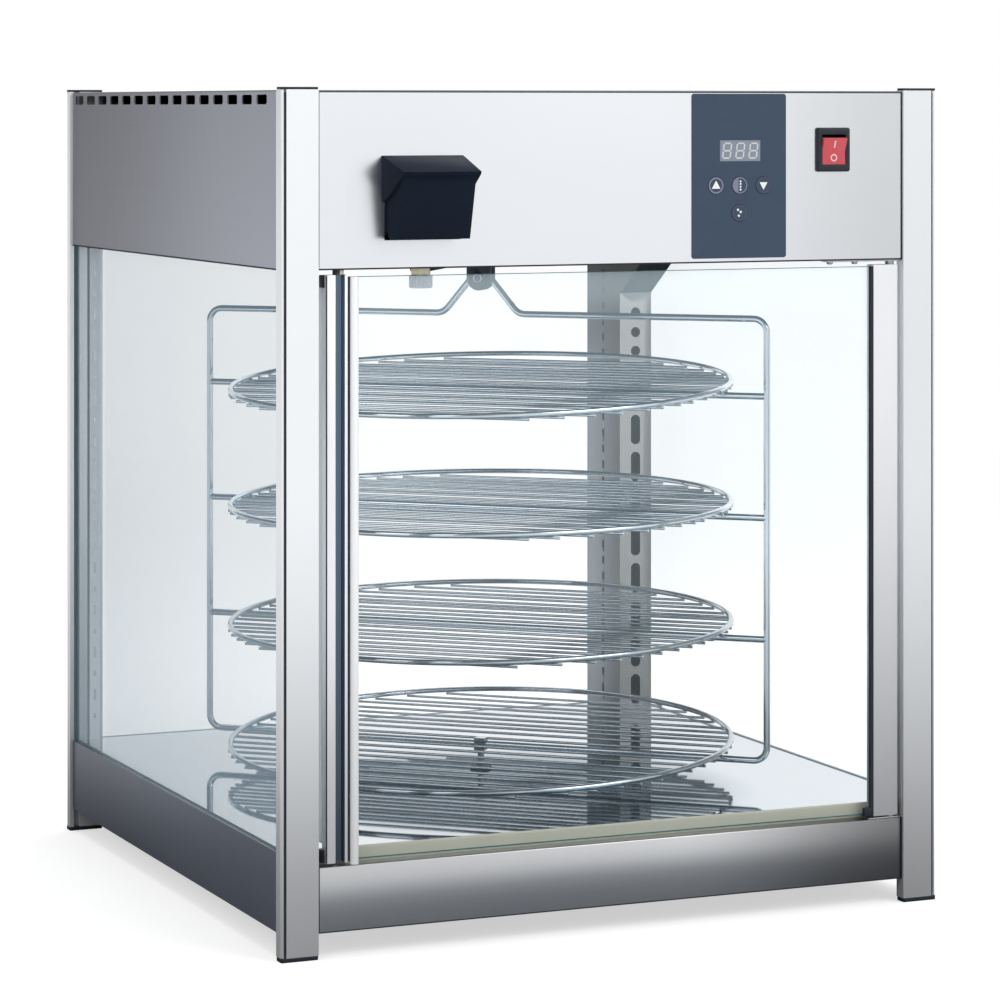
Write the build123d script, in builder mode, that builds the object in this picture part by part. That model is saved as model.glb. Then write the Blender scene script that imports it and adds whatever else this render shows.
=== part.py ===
from build123d import *
from math import cos, radians, sin, sqrt, tan
import os

os.makedirs("parts", exist_ok=True)

# Overall sizes of the case, in millimetres. The origin is on the ground under the middle of the whole
# object, +X to the right of a person who faces the door, +Y to the back, +Z up.
case_width = 600
case_depth = 596
case_height = 700
scoop_reach = 40.5
gland_reach = 10
front = -(scoop_reach + case_depth + gland_reach) / 2 + scoop_reach
back = front + case_depth
mid_y = (front + back) / 2
side = case_width / 2

# Corner posts, panels and glass
post_width = 32
post_depth = 12
sheet = 1.2
recess = 2.5
cap_height = 2
foot_height = 3.5
glass_side = 5
glass_offset = 4
panel_gap = 1.5
flange = 14

# Levels above the ground
base_bottom = 21
base_top = 73
floor_top = 85.5
shelf_top = floor_top - sheet
header_bottom = 554
header_top = 696.3
pan_top = header_bottom + 2 * sheet

# Rack
rack_angle = -43
hoop_half = 268
wire = 6
bar_levels = [107.6, 214.65, 321.7, 428.75]
disc_tilts = [2.2, 1.4, 1.3, 3.0]
hoop_top = 497
disc_radius = 228.6
ring_wire = 5
grid_wire = 3
grid_pitch = 20
shaft_radius = 4
run_fit = 0.06

# Door
door_front = front + 3.5
door_depth = 12
door_left = -259.9
door_right = 264.8
door_bottom = 75.5
door_top = 548.5
door_glass_front = front + 8
door_glass_thick = 4
pivot_x = 259.5
pivot_y = front + 9.5
pivot_radius = 2.5

# Water fill
scoop_x = -177
scoop_axis_y = front + 9
scoop_axis_z = 582

# Controls
overlay_x = 110.75
overlay_z = 625.75
key_places = {
    "key_up": (88.5, 617.8),
    "key_set": (110.9, 617.8),
    "key_down": (133.3, 617.8),
    "key_turn": (110.5, 594.6),
}
display_x = 111.7
display_z = 647
switch_x = 200
switch_z = 647.5

# Drain valve
valve_x = -155.4
valve_y = front + 60

# Air duct and fan
duct_left = 237.5
duct_width = 34
duct_front = front + 507
duct_back = back - 12.3
fan_x = 168
fan_y = mid_y + 200
fan_radius = 52


def save(builder, name):
    """Labels a finished piece and writes it under its own name."""
    builder.part.label = name
    export_step(builder.part, f"parts/{name}.step")


def box(x0, x1, y0, y1, z0, z1, mode=Mode.ADD):
    """A block between two corners, added to the piece being built."""
    with Locations(((x0 + x1) / 2, (y0 + y1) / 2, (z0 + z1) / 2)):
        Box(x1 - x0, y1 - y0, z1 - z0, mode=mode)


# Corner posts: hollow extrusions with a rounded lip outside a narrow groove, and a groove for the side
# glass. The rear pair has a second groove for the rear glass.
lip = 2.8
groove_width = 1.8
groove_depth = 4.5
glass_groove = 6
with BuildPart() as corner_post_front_left:
    with BuildSketch(Plane((-side, front, foot_height))):
        Rectangle(post_width, post_depth, align=Align.MIN)
        Rectangle(lip, lip / 2, align=Align.MIN, mode=Mode.SUBTRACT)
        with Locations((lip + groove_width / 2, groove_depth / 2)):
            Rectangle(groove_width, groove_depth, mode=Mode.SUBTRACT)
        with Locations((glass_offset + glass_side / 2, post_depth - glass_groove / 2)):
            Rectangle(glass_side + 0.4, glass_groove, mode=Mode.SUBTRACT)
        with Locations((17.75, post_depth / 2)):
            Rectangle(13.5, post_depth - 3.2, mode=Mode.SUBTRACT)
    extrude(amount=case_height - cap_height - foot_height)
    lip_edge = corner_post_front_left.edges().filter_by(Axis.Z).sort_by(Axis.X).group_by(Axis.X)[0]
    fillet(lip_edge.sort_by(Axis.Y)[0], 2)
save(corner_post_front_left, "corner_post_front_left")

with BuildPart() as corner_post_front_right:
    mirror(corner_post_front_left.part, about=Plane.YZ)
save(corner_post_front_right, "corner_post_front_right")

with BuildPart() as corner_post_rear_left:
    mirror(corner_post_front_left.part, about=Plane.XZ.offset(-mid_y))
    box(
        -side + post_width - glass_groove, -side + post_width, back - 9.2, back - 3.8,
        foot_height, case_height, mode=Mode.SUBTRACT,
    )
save(corner_post_rear_left, "corner_post_rear_left")

with BuildPart() as corner_post_rear_right:
    mirror(corner_post_rear_left.part, about=Plane.YZ)
save(corner_post_rear_right, "corner_post_rear_right")

# Black plastic caps on the posts and feet under them, each with a peg into the post's hollow
post_x = side - post_width / 2
post_y = case_depth / 2 - post_depth / 2
peg_x = side - 17.75
post_places = [(x, mid_y + y) for x in (-post_x, post_x) for y in (-post_y, post_y)]
peg_places = [(x, mid_y + y) for x in (-peg_x, peg_x) for y in (-post_y, post_y)]
with BuildPart() as post_caps:
    with BuildSketch(Plane.XY.offset(case_height - cap_height)):
        with Locations(*post_places):
            Rectangle(post_width, post_depth)
        chamfer(vertices(), 1.2)
    extrude(amount=cap_height)
    with BuildSketch(Plane.XY.offset(case_height - cap_height)):
        with Locations(*peg_places):
            Rectangle(13.1, post_depth - 3.6)
    extrude(amount=-8)
save(post_caps, "post_caps")

with BuildPart() as feet:
    with BuildSketch(Plane.XY):
        with Locations(*post_places):
            Rectangle(post_width, post_depth)
        chamfer(vertices(), 1.2)
    extrude(amount=foot_height)
    with BuildSketch(Plane.XY.offset(foot_height)):
        with Locations(*peg_places):
            Rectangle(13.1, post_depth - 3.6)
    extrude(amount=10)
save(feet, "feet")

# Front and rear panels run between the posts, side panels from post to post. Each is a folded sheet
# with a flange at its top and bottom edges.
panel_half = side - post_width - panel_gap
web_front = front + recess
web_back = back - recess
side_front = front + post_depth + panel_gap
side_back = back - post_depth - panel_gap
web_x = side - recess
scoop_hole_low = 576
scoop_hole_high = 642.5
with BuildPart() as header_front:
    box(-panel_half, panel_half, web_front, web_front + sheet, header_bottom, header_top)
    for low in (header_bottom, header_top - sheet):
        box(-panel_half, panel_half, web_front + sheet, web_front + sheet + flange, low, low + sheet)
    with BuildSketch(Plane.XZ.offset(-web_front)):
        with Locations((scoop_x, (scoop_hole_low + scoop_hole_high) / 2)):
            Rectangle(66.8, scoop_hole_high - scoop_hole_low)
        with Locations((overlay_x, overlay_z)):
            Rectangle(72, 108)
        with Locations((switch_x, switch_z)):
            Rectangle(27.4, 31.4)
    extrude(amount=-sheet, mode=Mode.SUBTRACT)
save(header_front, "header_front")

# Vents: a row of slots under the top edge of each side panel
vent_count = 15
vent_pitch = 36.3
vent_length = 25
vent_height = 8
vent_z = 690
with BuildPart() as header_left:
    box(-web_x, -web_x + sheet, side_front, side_back, header_bottom, header_top)
    for low in (header_bottom, header_top - sheet):
        box(-web_x + sheet, -web_x + sheet + flange, side_front, side_back, low, low + sheet)
    with BuildSketch(Plane.YZ.offset(-web_x)):
        with Locations((mid_y + 9.5, vent_z)):
            with GridLocations(vent_pitch, 1, vent_count, 1):
                Rectangle(vent_length, vent_height)
    extrude(amount=sheet, mode=Mode.SUBTRACT)
save(header_left, "header_left")

with BuildPart() as header_right:
    mirror(header_left.part, about=Plane.YZ)
save(header_right, "header_right")

gland_x = 205
gland_z = 585
with BuildPart() as header_rear:
    box(-panel_half, panel_half, web_back - sheet, web_back, header_bottom, header_top)
    for low in (header_bottom, header_top - sheet):
        box(
            -panel_half, panel_half, web_back - sheet - flange, web_back - sheet, low, low + sheet,
        )
    with BuildSketch(Plane.XZ.offset(-web_back)):
        with Locations((0, 660)):
            with GridLocations(26, 1, 9, 1):
                Rectangle(8, 36)
        with Locations((gland_x, gland_z)):
            RegularPolygon(8, 12)
    extrude(amount=sheet, mode=Mode.SUBTRACT)
save(header_rear, "header_rear")


def notched_plate(half_x, y0, y1, z0, z1, clear=0.3):
    """A sheet over the whole case, cut away round the four posts."""
    box(-half_x, half_x, y0, y1, z0, z1)
    notch = side - post_width - clear
    for x0, x1 in ((-side, -notch), (notch, side)):
        box(x0, x1, front, front + post_depth + clear, z0, z1, mode=Mode.SUBTRACT)
        box(x0, x1, back - post_depth - clear, back, z0, z1, mode=Mode.SUBTRACT)


with BuildPart() as top_cover:
    notched_plate(web_x, web_front, web_back, header_top, header_top + sheet)
save(top_cover, "top_cover")

# Ceiling pan: the underside of the header, on the panels' flanges, with the shaft hole, the valve hole,
# the air outlet over the duct and the return slots under the fan
outlet_y0 = fan_y - 47
outlet_y1 = fan_y + 13
with BuildPart() as ceiling_pan:
    notched_plate(web_x - sheet - 0.1, web_front + sheet + 0.1, web_back - sheet - 0.1,
                  header_bottom + sheet, pan_top)
    with BuildSketch(Plane.XY.offset(pan_top)):
        with Locations((0, mid_y)):
            RegularPolygon(8.1, 8)
        with Locations((valve_x, valve_y)):
            RegularPolygon(5.2, 12)
        with Locations((duct_left + duct_width / 2, (outlet_y0 + outlet_y1) / 2)):
            Rectangle(duct_width - 4, outlet_y1 - outlet_y0 - 4)
        with Locations((fan_x, fan_y)):
            with GridLocations(1, 9, 1, 6):
                Rectangle(44, 5)
        with Locations((duct_left + 9, duct_back - 12), (duct_left + 25, duct_back - 12)):
            Rectangle(9, 9)
    extrude(amount=-sheet, mode=Mode.SUBTRACT)
save(ceiling_pan, "ceiling_pan")

# Base panels. The side and rear ones carry the glass and the floor on a flange under the floor.
with BuildPart() as base_front:
    box(-panel_half, panel_half, web_front, web_front + sheet, base_bottom, base_top)
    box(-panel_half, panel_half, web_front + sheet, front + 20, base_top - sheet, base_top)
    box(-panel_half, panel_half, web_front + sheet, web_front + flange, base_bottom, base_bottom + sheet)
save(base_front, "base_front")

with BuildPart() as base_left:
    box(-web_x, -web_x + sheet, side_front, side_back, base_bottom, floor_top)
    box(-web_x + sheet, -web_x + flange, side_front, side_back, base_bottom, base_bottom + sheet)
    box(-web_x + sheet, -web_x + flange + 4, side_front, side_back, shelf_top - sheet, shelf_top)
save(base_left, "base_left")

with BuildPart() as base_right:
    mirror(base_left.part, about=Plane.YZ)
save(base_right, "base_right")

with BuildPart() as base_rear:
    box(-panel_half, panel_half, web_back - sheet, web_back, base_bottom, floor_top)
    box(-panel_half, panel_half, web_back - flange, web_back - sheet, base_bottom, base_bottom + sheet)
    box(-panel_half, panel_half, web_back - flange - 4, web_back - sheet, shelf_top - sheet, shelf_top)
save(base_rear, "base_rear")

with BuildPart() as base_cover:
    notched_plate(web_x - sheet - 0.1, web_front + sheet + 0.1, web_back - sheet - 0.1,
                  base_bottom + sheet, base_bottom + 2 * sheet)
save(base_cover, "base_cover")

# Floor: a polished pan with turned-down edges, and a pale strip in front of it over the door's sill
sill_front = front + 17
floor_front = sill_front + 1.5
floor_x = side - glass_offset - glass_side - 0.3
floor_back = back - 9.3
bush_radius = 6
with BuildPart() as floor_pan:
    box(-floor_x, floor_x, floor_front, floor_back, shelf_top, floor_top)
    box(-panel_half, panel_half, floor_front, floor_front + sheet, base_top + 0.2, shelf_top)
    for x0, x1 in ((-floor_x, -panel_half), (panel_half, floor_x)):
        box(x0, x1, back - post_depth - 0.5, back, shelf_top, floor_top, mode=Mode.SUBTRACT)
    with BuildSketch(Plane.XY.offset(floor_top)):
        with Locations((0, mid_y)):
            Circle(bush_radius)
    extrude(amount=-sheet, mode=Mode.SUBTRACT)
save(floor_pan, "floor_pan")

with BuildPart() as sill_strip:
    with BuildSketch(Plane.YZ.offset(-panel_half)):
        with BuildLine():
            Polyline(
                (sill_front, base_top),
                (floor_front, base_top),
                (floor_front, floor_top),
                (sill_front + 0.4, floor_top),
                (sill_front, floor_top - 1.5),
                close=True,
            )
        make_face()
    extrude(amount=2 * panel_half)
save(sill_strip, "sill_strip")

# Fixed glass: the side panes stand in the posts' grooves, the rear pane between the rear posts
glass_top = header_bottom - 0.2
with BuildPart() as glass_left:
    box(
        -side + glass_offset, -side + glass_offset + glass_side,
        front + post_depth - glass_groove + 0.2, back - post_depth + glass_groove - 0.2,
        shelf_top, glass_top,
    )
save(glass_left, "glass_left")

with BuildPart() as glass_right:
    mirror(glass_left.part, about=Plane.YZ)
save(glass_right, "glass_right")

rear_glass_half = side - post_width + glass_groove - 0.3
with BuildPart() as glass_rear:
    box(
        -rear_glass_half, rear_glass_half, back - glass_offset - glass_side, back - glass_offset,
        shelf_top, glass_top,
    )
save(glass_rear, "glass_rear")

# Slotted strip on the inner face of the rear left post: long and short slots in turn
strip_x = -side + 24
strip_z0 = floor_top
strip_z1 = header_bottom
with BuildPart() as slotted_strip:
    box(strip_x - 5, strip_x + 5, back - post_depth - sheet, back - post_depth, strip_z0, strip_z1)
    with BuildSketch(Plane.XZ.offset(-(back - post_depth))):
        for step in range(22):
            with Locations((strip_x, strip_z0 + 22 + 20 * step)):
                Rectangle(2.5, 10 if step % 2 else 5)
    extrude(amount=sheet, mode=Mode.SUBTRACT)
save(slotted_strip, "slotted_strip")

# Air duct: a perforated column in the rear right corner, its front flaring forward under the ceiling
hood_fold = 501
hood_reach = 80
duct_top = header_bottom
duct_middle = duct_left + duct_width / 2
slot_length = 28.8
slot_pitch = 36.5
round_holes = [481.5, 462, 443.5, 425, 406.5]
long_slots = [366 - slot_pitch * step for step in range(8)]
short_slots = [517 - 15.3 * step for step in range(9)]
with BuildPart() as air_duct:
    with BuildSketch(Plane.YZ.offset(duct_left)):
        with BuildLine():
            Polyline(
                (duct_back, floor_top),
                (duct_front, floor_top),
                (duct_front, hood_fold),
                (duct_front - hood_reach, duct_top),
                (duct_back, duct_top),
                close=True,
            )
        make_face()
    extrude(amount=duct_width)
    offset(amount=-sheet, openings=air_duct.faces().sort_by(Axis.Z)[-1], kind=Kind.INTERSECTION)
    with BuildSketch(Plane.XZ.offset(-duct_front)):
        with Locations(*[(duct_middle, z) for z in long_slots]):
            Rectangle(10, slot_length)
        chamfer(vertices(), 3)
        with Locations(*[(duct_middle, z) for z in round_holes]):
            RegularPolygon(5.2, 8, rotation=22.5)
    extrude(amount=-2 * sheet, mode=Mode.SUBTRACT)
    with BuildSketch(Plane.YZ.offset(duct_left)):
        with Locations(*[((duct_front + duct_back) / 2, z) for z in short_slots]):
            Rectangle(3, 7.5)
        with Locations(*[((duct_front + duct_back) / 2, z) for z in long_slots]):
            Rectangle(3, slot_length)
    extrude(amount=2 * sheet, mode=Mode.SUBTRACT)
save(air_duct, "air_duct")

# Door glass
stile_width = 20
glass_edge_left = door_left + 17.2
glass_edge_right = 264.8 - 24 + 5.8
with BuildPart() as door_glass:
    box(
        glass_edge_left, glass_edge_right, door_glass_front, door_glass_front + door_glass_thick,
        door_bottom + 1, door_top - 1.5,
    )
save(door_glass, "door_glass")

# Handle stile: an extrusion with a deep finger groove down its face, a hollow edge and a glass groove
finger_left = 7.6
finger_width = 8
finger_depth = 8.5
glass_slot_low = door_glass_front - door_front - 0.1
glass_slot = door_glass_thick + 0.2
with BuildPart() as handle_stile:
    with BuildSketch(Plane((door_left, door_front, door_bottom))):
        Rectangle(stile_width, door_depth, align=Align.MIN)
        with Locations((finger_left + finger_width / 2, finger_depth / 2)):
            Rectangle(finger_width, finger_depth, mode=Mode.SUBTRACT)
        with Locations((4, door_depth / 2)):
            Rectangle(4.4, door_depth - 3.2, mode=Mode.SUBTRACT)
        with Locations((stile_width - 1.5, glass_slot_low + glass_slot / 2)):
            Rectangle(3, glass_slot, mode=Mode.SUBTRACT)
        with Locations((stile_width - 1, glass_slot_low / 2)):
            Rectangle(2, glass_slot_low, mode=Mode.SUBTRACT)
    extrude(amount=door_top - door_bottom)
    stile_edge = handle_stile.edges().filter_by(Axis.Z).group_by(Axis.X)[0]
    fillet(stile_edge, 1.5)
save(handle_stile, "handle_stile")

# Round bead that grips the glass edge in front, beside the handle stile
bead_radius = 3.6
bead_x = door_left + 24
bead_bottom = base_top + 0.6
with BuildPart() as door_bead:
    with BuildSketch(Plane((bead_x, door_glass_front - bead_radius - 0.1, bead_bottom))):
        Circle(bead_radius)
        with Locations((0, bead_radius - 0.6)):
            Rectangle(4.8, 1.4)
    extrude(amount=door_top - 1.5 - bead_bottom)
save(door_bead, "door_bead")

# Hinge stile: a hollow extrusion with a glass groove and a pivot hole in each end
hinge_left = door_right - 24
with BuildPart() as hinge_stile:
    with BuildSketch(Plane((hinge_left, door_front, door_bottom))):
        Rectangle(24, door_depth, align=Align.MIN)
        with Locations((3, glass_slot_low + glass_slot / 2)):
            Rectangle(6, glass_slot, mode=Mode.SUBTRACT)
        with Locations((10.6, door_depth / 2)):
            Rectangle(6, door_depth - 3.2, mode=Mode.SUBTRACT)
    extrude(amount=door_top - door_bottom)
    hinge_edge = hinge_stile.edges().filter_by(Axis.Z).group_by(Axis.X)[-1]
    fillet(hinge_edge, 1.5)
    for level, way in ((door_bottom, 1), (door_top, -1)):
        with BuildSketch(Plane.XY.offset(level)):
            with Locations((pivot_x, pivot_y)):
                Circle(pivot_radius + run_fit)
        extrude(amount=way * 12, mode=Mode.SUBTRACT)
save(hinge_stile, "hinge_stile")

# Black gasket strips that seal the door glass in both stiles
shoe_top = 83
with BuildPart() as door_gaskets:
    box(
        door_left + stile_width - 2, door_left + stile_width, door_front + 0.3, door_glass_front - 0.1,
        door_bottom + 1, door_top - 1.5,
    )
    box(
        hinge_left - 2.5, hinge_left, door_front + 0.5, door_glass_front,
        shoe_top + 0.2, door_top - 1.5,
    )
save(door_gaskets, "door_gaskets")

# Black plastic: a buffer at each end of the handle stile, and the shoe at the glass's lower corner
plug_height = 10
with BuildPart() as door_caps:
    for low in (door_bottom, door_top - plug_height):
        box(door_left - 2.5, door_left, door_front + 5, door_front + 11, low, low + plug_height)
    box(hinge_left - 8.6, hinge_left, door_front + 0.5, door_glass_front, door_bottom, shoe_top)
    box(
        hinge_left - 8.6, hinge_left, door_front + 0.5, door_front + door_depth - 0.5,
        door_bottom, door_bottom + 1,
    )
save(door_caps, "door_caps")

# Door fittings: the top bracket with its pin hangs from the header, the bottom one stands on the base,
# and a sprung ball catch sits over the handle stile
collar_radius = 4
catch_x = door_left + 10.5
with BuildPart() as door_fittings:
    box(196, side - post_width - 1, front + 4, front + 16, header_bottom - 2.5, header_bottom)
    box(236, side - post_width - 1, front + 4, front + 16, base_top, base_top + 1)
    with BuildSketch(Plane.XY.offset(header_bottom - 2.5)):
        with Locations((pivot_x, pivot_y)):
            RegularPolygon(collar_radius, 8)
    extrude(amount=-2.6)
    with BuildSketch(Plane.XY.offset(header_bottom - 2.5)):
        with Locations((pivot_x, pivot_y)):
            Circle(pivot_radius)
    extrude(amount=-13.5)
    with BuildSketch(Plane.XY.offset(base_top + 1)):
        with Locations((pivot_x, pivot_y)):
            RegularPolygon(collar_radius, 8)
    extrude(amount=1.2)
    with BuildSketch(Plane.XY.offset(base_top + 1)):
        with Locations((pivot_x, pivot_y)):
            Circle(pivot_radius)
    extrude(amount=12)
    with BuildSketch(Plane.XY.offset(header_bottom)):
        with Locations((catch_x, front + 9)):
            RegularPolygon(2.6, 8)
        with Locations((catch_x - 5, front + 9)):
            Rectangle(3, 5)
    extrude(amount=-4.4)
save(door_fittings, "door_fittings")

# The rack turns about the middle of the case. Its wires lie in one upright plane through that axis.
along = (cos(radians(rack_angle)), sin(radians(rack_angle)), 0)
toward = (sin(radians(rack_angle)), -cos(radians(rack_angle)), 0)
rack_plane = Plane(origin=(0, mid_y, 0), x_dir=along, z_dir=toward)

# Hoop: one round wire bent into a rectangle, with a peak in the middle of its top run
peak_half = 36
peak_slope = 50
peak_bend = 9
peak_tip = hoop_top + peak_half * tan(radians(peak_slope))
hoop_bottom = bar_levels[0]
with BuildPart() as rack_hoop:
    with BuildLine(rack_plane) as hoop_line:
        FilletPolyline(
            (hoop_half, hoop_bottom),
            (hoop_half, hoop_top),
            (peak_half, hoop_top),
            (0, peak_tip),
            (-peak_half, hoop_top),
            (-hoop_half, hoop_top),
            (-hoop_half, hoop_bottom),
            radius=[12, 12, 14, peak_bend, 14, 12, 12],
            close=True,
        )
    with BuildSketch(Plane(origin=hoop_line.line @ 0, x_dir=toward, z_dir=hoop_line.line % 0)):
        RegularPolygon(wire / 2, 6, major_radius=False, rotation=30)
    sweep()
save(rack_hoop, "rack_hoop")

# Three straight cross bars, welded between the hoop's upright runs
with BuildPart() as rack_bars:
    for level in bar_levels[1:]:
        start = Vector(*along) * -(hoop_half - 1) + Vector(0, mid_y, level)
        with BuildSketch(Plane(origin=start, x_dir=toward, z_dir=along)):
            RegularPolygon(wire / 2, 6, major_radius=False, rotation=30)
        extrude(amount=2 * (hoop_half - 1))
    add(rack_hoop.part, mode=Mode.SUBTRACT)
save(rack_bars, "rack_bars")

# Wire disc, drawn flat: a ring welded on top of parallel wires that run the way the bar under them runs.
# The bar takes the place of the middle wire. The ring has short straight runs to keep its facets few.
ring_runs = 32
with BuildPart() as flat_disc:
    with BuildSketch(Plane.XY.offset(wire / 2)):
        RegularPolygon(disc_radius, ring_runs)
        RegularPolygon(disc_radius - ring_wire, ring_runs, mode=Mode.SUBTRACT)
    extrude(amount=ring_wire)
    for step in range(1, 11):
        place = grid_pitch * step
        half = sqrt(disc_radius**2 - place**2) - 1
        for y in (-place, place):
            with BuildSketch(Plane.YZ.offset(-half)):
                with Locations((y, (wire - grid_wire) / 2)):
                    Rectangle(grid_wire, grid_wire)
            extrude(amount=2 * half)

# Each disc is welded to its bar at two points and leans a little about it towards the front, as seen
for tier, (level, lean) in enumerate(zip(bar_levels, disc_tilts), 1):
    up = Vector(*toward) * sin(radians(lean)) + Vector(0, 0, cos(radians(lean)))
    seat = Plane(origin=(0, mid_y, level), x_dir=along, z_dir=up)
    with BuildPart() as rack_disc:
        with Locations(seat.location):
            add(flat_disc.part)
    save(rack_disc, f"rack_disc_{tier}")

# Floor pin: a stud under the hoop's bottom run, turning in a bush in the floor
pin_radius = 2.92
with BuildPart() as floor_pin:
    with BuildSketch(Plane.XY.offset(79)):
        with Locations((0, mid_y)):
            Circle(pin_radius)
    extrude(amount=24)
    with BuildSketch(rack_plane.offset(-4.5)):
        with Locations((0, hoop_bottom)):
            Rectangle(10, 11)
    extrude(amount=9)
    add(rack_hoop.part, mode=Mode.SUBTRACT)
save(floor_pin, "floor_pin")

# Drive clevis: the shaft's forked end holds the hoop's peak over a cross screw
clevis_width = 23
clevis_depth = 13
clevis_top = 552.4
peak_under = peak_tip - peak_bend * (1 / cos(radians(peak_slope)) - 1) - wire / 2
screw_z = peak_under - 2.55
clevis_end = 11.5
with BuildPart() as drive_clevis:
    with BuildSketch(rack_plane.offset(-clevis_depth / 2)):
        with Locations((0, (screw_z + clevis_top) / 2)):
            Rectangle(clevis_width, clevis_top - screw_z)
        with Locations((0, screw_z)):
            RegularPolygon(clevis_end, 16)
    extrude(amount=clevis_depth)
    with BuildSketch(rack_plane.offset(-wire / 2 - 0.15)):
        with Locations((0, screw_z)):
            Rectangle(clevis_width + 1, 2 * clevis_end + 1)
    extrude(amount=wire + 0.3, mode=Mode.SUBTRACT)
    with BuildSketch(Plane.XY.offset(clevis_top - 2)):
        with Locations((0, mid_y)):
            Circle(shaft_radius)
    extrude(amount=36)
    with BuildSketch(rack_plane.offset(clevis_depth / 2)):
        with Locations((0, screw_z)):
            RegularPolygon(4.6, 12)
    extrude(amount=2.8)
    with BuildSketch(rack_plane.offset(clevis_depth / 2)):
        with Locations((0, screw_z)):
            RegularPolygon(2.5, 8)
    extrude(amount=-clevis_depth)
save(drive_clevis, "drive_clevis")

# Bushes: a flanged bronze one for the shaft in the ceiling pan, a black one for the pin in the floor
with BuildPart() as rack_bushes:
    with BuildSketch(Plane.XY.offset(header_bottom + sheet)):
        with Locations((0, mid_y)):
            RegularPolygon(11, 8)
    extrude(amount=-1.8)
    with BuildSketch(Plane.XY.offset(header_bottom + sheet)):
        with Locations((0, mid_y)):
            RegularPolygon(8, 8)
    extrude(amount=6.6)
    with BuildSketch(Plane.XY.offset(header_bottom - 1)):
        with Locations((0, mid_y)):
            Circle(shaft_radius + run_fit)
    extrude(amount=10, mode=Mode.SUBTRACT)
    with BuildSketch(Plane.XY.offset(floor_top)):
        with Locations((0, mid_y)):
            RegularPolygon(9.7, 16)
    extrude(amount=2.4)
    with BuildSketch(Plane.XY.offset(floor_top)):
        with Locations((0, mid_y)):
            RegularPolygon(bush_radius, 8)
    extrude(amount=-10)
    with BuildSketch(Plane.XY.offset(floor_top - 11)):
        with Locations((0, mid_y)):
            Circle(pin_radius + run_fit + 0.02)
    extrude(amount=16, mode=Mode.SUBTRACT)
save(rack_bushes, "rack_bushes")

# Gearmotor on its bridge over the shaft bush
bridge_top = 568
with BuildPart() as gearmotor:
    box(-44, 44, mid_y - 27, mid_y + 27, bridge_top - sheet, bridge_top)
    for x0, x1 in ((-44, -44 + sheet), (44 - sheet, 44)):
        box(x0, x1, mid_y - 27, mid_y + 27, pan_top, bridge_top)
    for x0, x1 in ((-56, -44), (44, 56)):
        box(x0, x1, mid_y - 27, mid_y + 27, pan_top, pan_top + sheet)
    box(-33, 33, mid_y - 25, mid_y + 25, bridge_top, bridge_top + 22)
    with BuildSketch(Plane.XY.offset(bridge_top + 22)):
        with Locations((0, mid_y)):
            RegularPolygon(24, 12)
    extrude(amount=30)
    with BuildSketch(Plane.XY.offset(bridge_top)):
        with Locations((0, mid_y)):
            RegularPolygon(9, 12)
    extrude(amount=-5)
    with BuildSketch(Plane.XY.offset(bridge_top - 6)):
        with Locations((0, mid_y)):
            RegularPolygon(shaft_radius + run_fit, 12, major_radius=False)
    extrude(amount=26, mode=Mode.SUBTRACT)
save(gearmotor, "gearmotor")

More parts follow.
